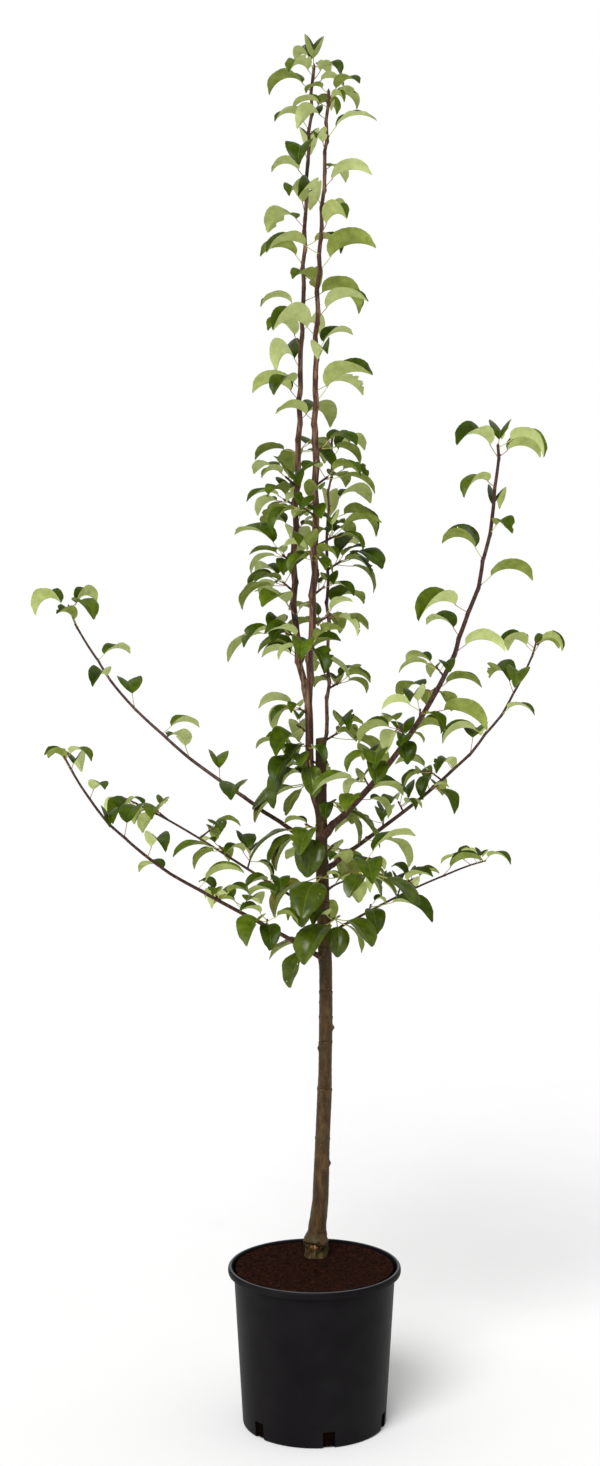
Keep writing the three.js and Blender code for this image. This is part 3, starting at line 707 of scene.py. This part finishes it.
# rows along a blade longer than BIG_BLADE, and along a shorter one
BIG_BLADE, BIG_ROWS, SMALL_ROWS = 45, 24, 16
# a tip's sideways hook as a share of the length, a tooth and the dome as shares of the half width
HOOK, TOOTH, DOME = 0.07, 0.02, 0.09
# a bias above 1 favours the first of the three shades
UNDER_BIAS_SHOOT, UNDER_BIAS = 1.65, 0.72
AGES = table("bias hook curl ripple shape waist vein stalk", {
    "old": (1.4, 1.6, (-0.14, 0.26), (0.03, 0.1), 0.8, 0.14, 0.6, 1.45),
    "young": (1.5, 1, (-0.05, 0.13), (0.02, 0.06), 0.95, 0.22, 0.46, 1),
})
CHEWED_SHARE = 0.13
HOLED_SHARE = 0.1
GREEN_STALKS = 0.45
STALK_SHARES = (0, 0.12, 0.35, 0.65, 1)
STALK_RADII = np.array([1.3, 0.85, 0.68, 0.68, 0.8])
STALK_SIDES = 6
LEAF_SEED, LEAF_STRIDE, MASS_STRIDE = 5000, 37, 211


def chewed_edge(s, draw):
    """How much of one side's width is left along the blade."""
    left = np.ones(len(s))
    if draw() < CHEWED_SHARE:
        for _ in range(1 + int(draw() * 3)):
            where, deep = lerp(0.2, 0.9, draw()), lerp(0.2, 0.62, draw())
            left *= 1 - deep * bell(s - where, lerp(0.018, 0.06, draw()), 4)
    return left


def holed_cells(rows, columns, draw):
    """Cells of the blade's grid with a small hole."""
    cells = set()
    if draw() < HOLED_SHARE:
        for _ in range(1 + int(draw() * 3)):
            j = 1 + int(draw() * 2)
            i = lerp(0.25, 0.85, draw()) * rows // 1
            cells.add((i, j if draw() < 0.5 else columns - 2 - j))
    return cells


def blade_grid(leaf, age, s, draw):
    """A blade's upper side: hooked, curled and wavy, with teeth and raised veins."""
    left, right = chewed_edge(s, draw), chewed_edge(s, draw)
    hook = leaf.blade * lerp(-HOOK, HOOK, draw()) * age.hook
    phase, waves = tau * draw(), lerp(1.2, 2.8, draw())
    curl, ripple = lerp(*age.curl, draw()), lerp(*age.ripple, draw())
    row = np.arange(len(s))
    grid = np.zeros((len(s), len(BLADE_V), 3))
    for j, v in enumerate(BLADE_V):
        out = abs(v)
        along = s + VEIN_SLANT * out * np.sin(pi * s)
        tip = np.clip((along - 0.84) / 0.16, 0, 1)
        shape = outline(along) ** age.shape * (1 - age.waist * np.sin(pi * tip))
        half = leaf.half * shape
        middle, side, normal = blade_frame(leaf, along)
        middle += side * (hook * along * along)[:, None]
        edge = half * out * (right if v > 0 else left) ** out
        if out == 1:
            edge *= 1 - TOOTH * (row % 2)
        dome = DOME * half * sin(pi * out)
        wave = ripple * half * v * v * np.sin(waves * tau * along + phase + (v > 0) * 1.7)
        veins = age.vein * np.cos(pi * row) * sin(pi * out**0.7) * (shape > 0.15)
        lift = edge * sin(leaf.fold) + dome + wave + curl * half * v * v + veins
        across = copysign(1, v) * edge * cos(leaf.fold)
        grid[:, j] = middle + side * across[:, None] + normal * lift[:, None]
    return grid


def add_leaf(builder, leaf, seed):
    """A closed two-sided blade and its stalk."""
    draw = random_from(seed)
    old, age = leaf.old, AGES["old" if leaf.old else "young"]
    rows = BIG_ROWS if leaf.blade > BIG_BLADE else SMALL_ROWS
    s = np.linspace(0, 1, rows + 1)
    count = len(BLADE_V)
    top = (BLADE_SHADES if old else 0) + int(draw() ** age.bias * BLADE_SHADES)
    bias = UNDER_BIAS_SHOOT if leaf.shoot else UNDER_BIAS
    under = 2 * BLADE_SHADES + int(draw() ** bias * BLADE_SHADES)
    grid = blade_grid(leaf, age, s, draw)
    middle, _, normal = blade_frame(leaf, s)
    thick = BLADE_THICK * np.clip(outline(s) * 4, 0.15, 1)
    below = grid[:, 1:-1] - normal[:, None] * thick[:, None, None]
    upper = np.arange((rows + 1) * count).reshape(rows + 1, count)
    lower = upper.copy()
    lower[:, 1:-1] = upper.size + np.arange(below[..., 0].size).reshape(rows + 1, -1)
    points, total = [grid.reshape(-1, 3), below.reshape(-1, 3)], upper.size + below[..., 0].size
    faces, slots = [], []
    holes = holed_cells(rows, count, draw)
    for i in range(rows):
        for j in range(count - 1):
            cell = ((i, i + 1, i + 1, i), (j, j, j + 1, j + 1))
            above, beneath = upper[cell], lower[cell]
            colours = (VEIN_SLOT, RIB_SLOT) if j == count // 2 - 1 else (top, under)
            if (i, j) in holes:
                corners = grid[cell]
                centre = corners.mean(0)
                inner = centre + (corners - centre) * [[0.5], [0.42], [0.5], [0.36]]
                points += [inner, inner - normal[i] * BLADE_THICK]
                for a in range(4):
                    b = (a + 1) % 4
                    rim = (total + a, total + b, total + 4 + b, total + 4 + a)
                    faces.append((above[a], above[b], rim[1], rim[0]))
                    faces.append((beneath[a], rim[3], rim[2], beneath[b]))
                    faces.append(rim)
                    slots += [*colours, RIB_SLOT]
                total += 8
                continue
            # at the edge both sides are split alike, so that neither shows through the other
            for part in ([0, 1, 2], [0, 2, 3]) if j in (0, count - 2) else ([0, 1, 2, 3],):
                faces += [tuple(above[part]), tuple(reversed(beneath[part]))]
                slots += colours
    builder.add(np.vstack(points), faces, slots)
    stalk_end = middle[0] + (middle[1] - middle[0]) * 0.6 - normal[0] * 0.3
    sag = UP * -0.03 * leaf.petiole
    along = [lerp(leaf.root, stalk_end, t) + sag * sin(pi * t) for t in STALK_SHARES]
    slot = STALK_SLOT if old or draw() < GREEN_STALKS else BLUSHED_SLOT
    skin(builder, along, STALK_RADII * age.stalk, STALK_SIDES, slot)


def foliage(name, starts, leafy):
    """One piece with all leaves on the leafy parts or lone spurs whose names start so."""
    builder, nodes = Builder(), []
    for k, mass in enumerate(masses):
        if mass.name.startswith(starts) and bool(mass.spec) == leafy:
            nodes.append(mass.name)
            for i, leaf in enumerate(mass.leaves):
                add_leaf(builder, leaf, LEAF_SEED + MASS_STRIDE * k + LEAF_STRIDE * i)
    builder.piece(name, LEAF_LOOKS, "foliage", nodes)


# ---- trunk ----
ZIGZAG = 2.2
LIMB_STEP = 3
LIMB_ROUGH = 0.03
FLARE_LENGTH = 14
# heights above the compost
RINGS = [213, 300, 384, 429, 474, 552, 631, 704, 769, 838]
# bud stubs and limb collars: height, azimuth, length, and spread up and round the trunk
KNOBS = [(*stub, 4, 0.34) for stub in (
    (169, -8, 3.2), (374, 188, 2.6), (411, -2, 4), (455, 150, 2.2), (878, 8, 3.4), (233, -100, 1.6))
] + [(spec.height - TRUNK_FOOT + 8, spec.azimuth, 2.6, 11, 0.6)
     for spec in LIMBS.values() if spec.height]
RING_WIDTH = 3.4
BULGE_HEIGHT = 31
CREVICE_HEIGHT = 24
CREVICE_DEPTH = 3.5
WOUND_HEIGHT = 21.5
WOUND_AZIMUTH = -94
# azimuth, foot height above the compost, tallness and half width
SPLINTERS = [(-116, 19.6, 5, 2.2), (-106, 17.8, 5.2, 1.3), (-95, 16.6, 8, 2.9),
             (-84, 19.4, 4, 1.6), (-76, 21.4, 6, 2.7)]
SPLINTER_THICK = 1.1
SPLINTER_RINGS, SPLINTER_SIDES = 9, 8
SAW_SLOPE = 1.6
TRUNK_SIDES = 84
STUMP_TOP = 52
TRUNK_LOOKS = [BARK, STUMP, WOUND, CREASE_SHADE, SAWN, RING_GROOVE_SHADE, YOUNG]
(BARK_SLOT, STUMP_SLOT, WOUND_SLOT, CREASE_SHADE_SLOT, SAWN_SLOT, RING_SHADE_SLOT,
 YOUNG_SLOT) = range(len(TRUNK_LOOKS))
trunk_coarse = Ripple(3, waves=14, around=3, along=0.05)
trunk_fine = Ripple(4, waves=20, around=9, along=0.6)
trunk_lumps = Ripple(5, waves=18, around=5, along=0.22)


def round_from(angle, azimuth):
    """Angle away from an azimuth, in radians from 0 to pi."""
    return np.abs((angle - radians(azimuth) + pi) % tau - pi)


def above_ring(angle, distance, i):
    return distance - RINGS[i] - 0.8 * np.sin(angle * (1 + i % 2) + i)


def above_crevice(angle, distance):
    """Distance above the ragged crack between the stump and the graft."""
    wander = 1.3 * np.sin(angle + 2.2) - 3 * np.sin(angle) + 1.1 * np.sin(4 * angle)
    return distance - CREVICE_HEIGHT - wander - 0.7 * np.sin(9 * angle + 1)


def in_wound(angle, distance):
    reach = 0.42 + 0.05 * sin(1.9 * distance) + 0.04 * sin(5.3 * distance)
    high = 4 + 0.9 * sin(9 * angle) + 0.7 * sin(23 * angle)
    return round_from(angle, WOUND_AZIMUTH) < reach and abs(distance - WOUND_HEIGHT) < high


def trunk_relief(angle, distance):
    """Lumps, rings, stubs, limb collars, the crack, the wound and the bulge."""
    gnarl = bell(distance, 42)
    total = 0.5 * trunk_coarse(angle, distance) + (0.12 + gnarl) * trunk_fine(angle, distance)
    total += gnarl * 2.6 * trunk_lumps(angle, distance)
    for i in range(len(RINGS)):
        above = above_ring(angle, distance, i)
        part = 0.5 + 0.5 * np.tanh(3 * np.sin(angle + 2.3 * i) + 1)
        total = total + 0.7 * bell(above, RING_WIDTH) - 0.8 * part * bell(above - RING_WIDTH, 1.3)
    for height, azimuth, out, tall, wide in KNOBS:
        total += out * bell(distance - height, tall) * bell(round_from(angle, azimuth), wide)
    crevice = bell(above_crevice(angle, distance), 1.7) * (0.55 + 0.45 * np.sin(3 * angle + 1.4))
    wound = bell(distance - WOUND_HEIGHT, 5, 4) * bell(round_from(angle, WOUND_AZIMUTH), 0.48, 4)
    total = total - CREVICE_DEPTH * crevice - wound * (1.8 + 0.4 * np.sin(34 * angle))
    return total - 2 * bell(distance - 4, 10) + 1.6 * bell(distance - BULGE_HEIGHT, 6)


def trunk_slot(angle, distance):
    """Which of the trunk's materials a face takes."""
    over = above_crevice(angle, distance)
    # the crack and the wound's hollow take the painted shade
    if in_wound(angle, distance) or (abs(over) < 1.3 and sin(3 * angle + 1.4) > -0.6):
        return CREASE_SHADE_SLOT
    if over < 0:
        return STUMP_SLOT
    # the groove above each ring's ridge takes the painted shade
    for i in range(len(RINGS)):
        off = abs(above_ring(angle, distance, i) - RING_WIDTH)
        if off < 0.8 + 0.3 * sin(4 * angle + i) and sin(angle + 2.3 * i) > -0.3:
            return RING_SHADE_SLOT
    return BARK_SLOT


def add_splinter(builder, azimuth, low, tall, wide):
    """A flat ragged plate of pale wood in the wound."""
    spoke, flat = direction(azimuth, 0), direction(azimuth + 90, 0)
    centre, radius = trunk_at(TRUNK_FOOT + WOUND_HEIGHT)
    ragged = random_from(int(10 * (tall + wide)))
    points = []
    for t in np.linspace(0, 1, SPLINTER_RINGS):
        out = radius - 2.1 + 0.9 * t * (1 - t) + 0.4 * ragged()
        spread = wide * (1 - 0.4 * t**4) * lerp(0.75, 1.15, ragged())
        left, right = -spread * lerp(0.45, 1.2, ragged()), spread * lerp(0.45, 1.2, ragged())
        level = centre + UP * (low + tall * t - WOUND_HEIGHT)
        for turn in circle(SPLINTER_SIDES):
            across = lerp(left, right, 0.5 - 0.5 * cos(turn))
            lean = 1.8 * t * ragged() if t > 0.6 else 0
            points.append(level + flat * across + UP * lean
                          + spoke * (out - SPLINTER_THICK * sin(turn)))
    builder.add(points, ring_faces(SPLINTER_RINGS, SPLINTER_SIDES), WOUND_SLOT)


def stem_path(stem, step, sites=()):
    """Points and radii along a stem, with a small zigzag at its leaf sites."""
    shares = np.linspace(0, 1, max(2, ceil(stem.length / step)) + 1)
    at = [0.0] + [share for share, _ in sites] + [1.0]
    still = np.zeros(3)
    offsets = np.array([still] + [direction(a, 0) * ZIGZAG for _, a in sites] + [still])
    spots = [stem.at(share) for share in shares]
    shifts = np.column_stack([np.interp(shares, at, offsets[:, c]) for c in range(3)])
    return [spot[0] + shift for spot, shift in zip(spots, shifts)], [spot[2] for spot in spots]


def add_limb(builder, stems, seed, sides, slot, flare=0.0, node=1.0):
    """One skin along stems that follow each other, with a knob at each of their leaf sites."""
    points, radii, marks, start = [], [], [], 0.0
    for stem, sites in stems:
        path, thick = stem_path(stem, LIMB_STEP, sites)
        skip = 1 if points else 0
        points, radii = points + path[skip:], radii + thick[skip:]
        marks += [(start + share * stem.length, azimuth) for share, azimuth in sites]
        start += stem.length
    distance = np.concatenate([[0], np.cumsum(norm(np.diff(points, axis=0), axis=1))])
    radii = np.array(radii) * (1 + flare * np.exp(-distance / FLARE_LENGTH))
    broad = Ripple(seed, along=0.06, around=2)
    fine = Ripple(seed + 1, along=0.3, around=3)
    rough = LIMB_ROUGH * float(np.mean(radii))

    def relief(angle, along):
        total = rough * (broad(angle, along) + 0.3 * fine(angle, along))
        for spot, azimuth in marks:
            if abs(along - spot) < 12:
                knob = bell(along - spot, 3.6) * bell(round_from(angle, azimuth), 1.1)
                total += node * knob
        return total

    skin(builder, points, radii, sides, slot, relief)


wood = Builder()
# rows are closer at the stump and at each ring
fine_rows = [np.arange(0, STUMP_TOP, 0.9)] + [np.arange(h - 2, h + 8, 0.7) for h in RINGS]
other_rows = [np.arange(STUMP_TOP, TRUNK_HEIGHT, 2.6), [TRUNK_HEIGHT]]
heights = np.unique(np.concatenate(other_rows + fine_rows))
spots = [trunk_at(TRUNK_FOOT + h) for h in heights]
skin(wood, [p for p, _ in spots], [r for _, r in spots], TRUNK_SIDES, BARK_SLOT, trunk_relief)
# the sawn top slopes down to the left
wood.points[0][-2 * TRUNK_SIDES:, 2] -= np.tile(SAW_SLOPE * (1 - np.cos(circle(TRUNK_SIDES))), 2)
for row, height in enumerate((heights[:-1] + heights[1:]) / 2):
    for i in range(TRUNK_SIDES):
        turn = (i + 0.5) * tau / TRUNK_SIDES
        wood.slots[row * TRUNK_SIDES + i] = trunk_slot(turn, height)
wood.slots[-1] = SAWN_SLOT
for splinter in SPLINTERS:
    add_splinter(wood, *splinter)
add_limb(wood, [(limbs["fork"], ())], 11, 24, YOUNG_SLOT, flare=0.25)
wood.piece("trunk_bark", TRUNK_LOOKS, "bark", ["trunk"])

# ---- leaders and boughs ----
NODE_TURN = 137.5
nodes_on = {}


def spiral_nodes(stem, pitch, seed):
    """Node positions up a bare limb, one leaf scar each."""
    draw = random_from(seed)
    count = max(1, int(stem.length / pitch))
    return [((i + 0.5 + 0.4 * (draw() - 0.5)) / count, NODE_TURN * i + 40 * draw())
            for i in range(count)]


def limb_skins(kind, material, pitch, node_seed, seed, sides, node):
    """The skins of all leaders or boughs, each on through its leafy part."""
    builder = Builder()
    names = [name for name in LIMBS if name.startswith(kind)]
    for k, name in enumerate(names):
        limb, leafy = limbs[name], leafy_parts[name]
        nodes_on[name] = spiral_nodes(limb, pitch, node_seed + k)
        stems = [(limb, nodes_on[name]), (leafy.stem, leafy.sites)]
        flare = 0.9
        if not LIMBS[name].height:
            # the skin starts at the fork, so that no seam shows on the stub
            stems.insert(0, (Stretch(limb.curve, limb.radius, 0, FORK_STUB), ()))
            flare = 0.0
        add_limb(builder, stems, seed + k, sides, 0, flare, node)
    builder.piece(f"{kind}_bark", [material], f"{kind}_bark", names)


limb_skins("leader", YOUNG, pitch=34, node_seed=61, seed=21, sides=18, node=1.7)
limb_skins("bough", BOUGH, pitch=26, node_seed=71, seed=41, sides=16, node=0.8)

# ---- spurs and buds ----
TWIG_SLOT, BUD_SLOT = 0, 1
TWIG_SEED, TWIG_STRIDE = 700, 13
BUD_SHARES = (0, 0.15, 0.4, 0.7, 0.9, 1)
BUD_SHAPE = np.array([0.7, 1.0, 1.05, 0.7, 0.35, 0.08])
spurs = Builder()


def add_bud(base, along, length, radius):
    skin(spurs, [base + along * length * t for t in BUD_SHARES], radius * BUD_SHAPE, 7, BUD_SLOT)


def add_axil_buds(stem, sites, length, radius):
    """Buds that lean up from a stem at its leaf sites."""
    for share, azimuth in sites:
        point, tangent, thick = stem.at(share)
        out = direction(azimuth, 0)
        along = out * 0.55 + tangent * 0.85
        base = point + out * (1.3 + thick * 0.75) + tangent * 2.6
        add_bud(base, along / norm(along), length, radius)


for name, sites in nodes_on.items():
    add_axil_buds(limbs[name], sites, 5, 1.6)
for k, mass in enumerate(masses):
    for i, twig in enumerate(mass.spurs()):
        points, radii = stem_path(twig, 1.2)
        marks = Ripple(TWIG_SEED + TWIG_STRIDE * k + i, along=1.6, around=2)
        skin(spurs, points, np.array(radii) * 1.08, 9, TWIG_SLOT, lambda a, d: 0.22 * marks(a, d))
        add_bud(twig.at(0.98)[0], twig.at(1)[1], 6.5, 2.0)
    add_axil_buds(mass.stem, mass.sites, 4.6, 1.35)
    if mass.spec:
        add_bud(mass.stem.at(0.995)[0], mass.stem.at(1)[1], 7, 1.9)
spurs.piece("spurs_and_buds", [BOUGH, BUD], "bough_bark")

foliage("shoot_leaves", "leader", True)
foliage("bough_leaves", "bough", True)
foliage("leader_spur_leaves", "leader", False)
foliage("trunk_leaves", ("fork", "trunk"), False)

# ---- pot ----
POT_SIDES = 144
# radius and height, from under the middle up the outside, over the rim and down inside
POT_PROFILE = [(radius + out, height + up) for radius, height, steps in (
    (0, 0, [(0, 0)]),
    (POT_FOOT_RADIUS, 0, [(-4, 0), (-1.6, 0.9), (-0.3, 2.6), (0.1, 5)]),
    (POT_SHOULDER_RADIUS, POT_SHOULDER, [(-0.2, -2.5), (0.4, -0.8), (2, 0)]),
    (POT_RIM_RADIUS, POT_SHOULDER, [(-2.4, 0.2), (-0.7, 1.2), (0, 3.6)]),
    (POT_RIM_RADIUS, POT_HEIGHT, [(0, -5.4), (-0.6, -2.8), (-2.1, -0.8), (-4, 0), (-5.8, -0.7),
                                  (-7.1, -2.6), (-8.2, -7)]),
    (POT_SHOULDER_RADIUS - POT_WALL, POT_SHOULDER, [(0, -1)]),
    (POT_FOOT_RADIUS - POT_WALL, POT_FLOOR, [(0, 0)]),
    (0, POT_FLOOR, [(0, 0)]),
) for out, up in steps]


def ring_points(radius, angle, height):
    return np.column_stack([radius * np.cos(angle), radius * np.sin(angle), height + 0 * angle])


rings = [ring_points(r, circle(POT_SIDES), z) for r, z in POT_PROFILE[1:-1]]
points = np.vstack([(0, 0, POT_PROFILE[0][1]), *rings, (0, 0, POT_PROFILE[-1][1])])
# the profile starts below, so its faces are turned over
faces = [(face[0], *reversed(face[1:])) for face in capped_faces(len(rings), POT_SIDES)]
pot = add_object("pot_shell", smooth_mesh("pot_shell", points, faces))
depth = SLOT_UNDER + 6
cutters = bmesh.new()
for i in range(SLOT_COUNT):
    turn = radians(SLOT_FIRST_AZIMUTH + 360 * i / SLOT_COUNT)
    for vertex in bmesh.ops.create_cube(cutters, size=1)["verts"]:
        x, y, z = vertex.co
        x, y = POT_FOOT_RADIUS + 5 - depth / 2 + x * depth, y * SLOT_WIDTH
        x, y = x * cos(turn) - y * sin(turn), x * sin(turn) + y * cos(turn)
        vertex.co = Vector((x, y, z * SLOT_HEIGHT * 2)) * MM
cutter_mesh = bpy.data.meshes.new("slot_cutters")
cutters.to_mesh(cutter_mesh)
cutters.free()
cutter = add_object("slot_cutters", cutter_mesh)
cut = pot.modifiers.new("slots", "BOOLEAN")
cut.operation, cut.solver, cut.object = "DIFFERENCE", "EXACT", cutter
graph = bpy.context.evaluated_depsgraph_get()
pot.data = bpy.data.meshes.new_from_object(pot.evaluated_get(graph), depsgraph=graph)
pot.modifiers.clear()
bpy.data.objects.remove(cutter)
pot.data.materials.clear()
for material in (POT, LIP_HIGHLIGHT, INNER_WALL_SHADE):
    pot.data.materials.append(material)
for polygon in pot.data.polygons:
    x, y, z = polygon.center / MM
    r = hypot(x, y)
    # the rim's top faces take the painted highlight
    lip_highlight = z > POT_HEIGHT - 1.2 and r > POT_RIM_RADIUS - 6
    # inward faces of the wall take the painted shade
    inside = r < POT_RIM_RADIUS - 7 and z > POT_FLOOR - 1 and polygon.normal.dot((x, y, 0)) < 0
    polygon.material_index = 1 if lip_highlight else 2 if inside else 0
pot.data.set_sharp_from_angle(angle=radians(40))
declare(pot, ["pot"])

# ---- compost ----
SOIL_EDGE = POT_SHOULDER_RADIUS - POT_WALL - GAP
SOIL_FOOT = POT_FOOT_RADIUS - POT_WALL - GAP
BED_RINGS, BED_SIDES = 70, 180
CRUMB_COUNT = 2200
CRUMB_REACH = 0.985
TRUNK_CLEAR = 21
FIBRE_SHARE = 0.09
bed_swell = [Ripple(81, waves=16, around=7, along=0.07), Ripple(82, waves=26, around=30, along=0.5)]


def soil_height(radius, angle):
    """Compost surface, drawn up a little at the wall."""
    lumps = 1.1 * bed_swell[0](angle, radius) + 0.7 * bed_swell[1](angle, radius)
    return SOIL_TOP + np.clip(lumps, -3, 1.8) + 6.8 * (np.asarray(radius) / SOIL_EDGE) ** 4


bed = Builder()
angle = circle(BED_SIDES)
rings = [ring_points(r, angle, soil_height(r, angle))
         for r in SOIL_EDGE * np.arange(1, BED_RINGS + 1) / BED_RINGS]
rings.append(ring_points(SOIL_FOOT, angle, POT_FLOOR + GAP))
# the compost's side and underside take the painted shade
bed.add(np.vstack([(0, 0, SOIL_TOP), *rings, (0, 0, POT_FLOOR + GAP)]),
        capped_faces(len(rings), BED_SIDES), ([0] * BED_RINGS + [1, 1]) * BED_SIDES)
bed.piece("compost_bed", [COMPOST, SHADED_PEAT], "compost", ["compost"])

crumbs = Builder()
draw = random_from(90)
for _ in range(CRUMB_COUNT):
    r, a = SOIL_EDGE * CRUMB_REACH * sqrt(draw()), tau * draw()
    size = lerp(0.5, 2.3, draw() ** 2.5)
    centre = np.array([r * cos(a), r * sin(a), float(soil_height(r, a)) + 0.1 * size])
    if hypot(centre[0] - TRUNK_STATIONS[0][1], centre[1] - TRUNK_BACK) < TRUNK_CLEAR:
        continue
    spin = random_from(int(draw() * 1e6))
    if draw() < FIBRE_SHARE:
        half = direction(360 * spin(), 12 * (spin() - 0.5)) * size * 2.5
        skin(crumbs, [centre - half, centre + UP * 0.4, centre + half], [0.25, 0.4, 0.25], 4, 1)
        continue
    points = []
    for level, wide in ((-0.7, 0.6), (0, 1), (0.75, 0.55)):
        for i in range(5):
            t = tau * (i + 0.3 * spin()) / 5
            w = size * wide * lerp(0.7, 1.25, spin())
            points.append(centre + np.array([w * cos(t), w * sin(t), size * level * 0.8]))
    crumbs.add(points, ring_faces(3, 5), 0)
crumbs.piece("compost_crumbs", [CRUMB, FIBRE], "compost")

# ---- stage, lights and camera ----
# the floor's shades are 0.93 and 0.95 as linear values
FLOOR_REACH = 30
corners = [(x * FLOOR_REACH, y * FLOOR_REACH, 0) for x, y in ((-1, -1), (1, -1), (1, 1), (-1, 1))]
floor_mesh = bpy.data.meshes.new("studio_floor")
floor_mesh.from_pydata(corners, [], [(0, 1, 2, 3)])
floor_mesh.materials.append(
    look("studio_floor", [(246.98704,) * 3, (249.31135,) * 3], 2, 0.95, bump=None, specular=0))
add_object("studio_floor", floor_mesh)

# the camera sees a white backdrop, brighter than the room that lights the tree
world = bpy.data.worlds.new("studio")
scene.world = world
world.use_nodes = True
tree = world.node_tree
room = tree.nodes["Background"]
set_inputs(tree, room, {"Color": (1, 1, 1, 1), "Strength": 0.55})
backdrop = add_node(tree, "Background", "Background", {"Color": (1, 1, 1, 1), "Strength": 1})
seen = add_node(tree, "LightPath", "Is Camera Ray", {})
set_inputs(tree, tree.nodes["World Output"], {"Surface": add_node(
    tree, "MixShader", "Shader", {"Fac": seen, 1: room.outputs["Background"], 2: backdrop})})

sun = bpy.data.lights.new("key_sun", "SUN")
sun.energy, sun.angle = 2.4, radians(32)
course = Vector((0.35, 0.9, -0.95))
add_object("key_sun", sun).rotation_euler = course.to_track_quat("-Z", "Y").to_euler()

# the camera dips 4.4 degrees
lens = bpy.data.cameras.new("photo_camera")
lens.sensor_width, lens.lens = 36, 52.99
camera = add_object("photo_camera", lens)
camera.location = (-0.0251, -3.664, 1.485)
camera.rotation_euler = (radians(90 - 4.4), 0, 0)
scene.camera = camera
scene.view_settings.view_transform = "Standard"
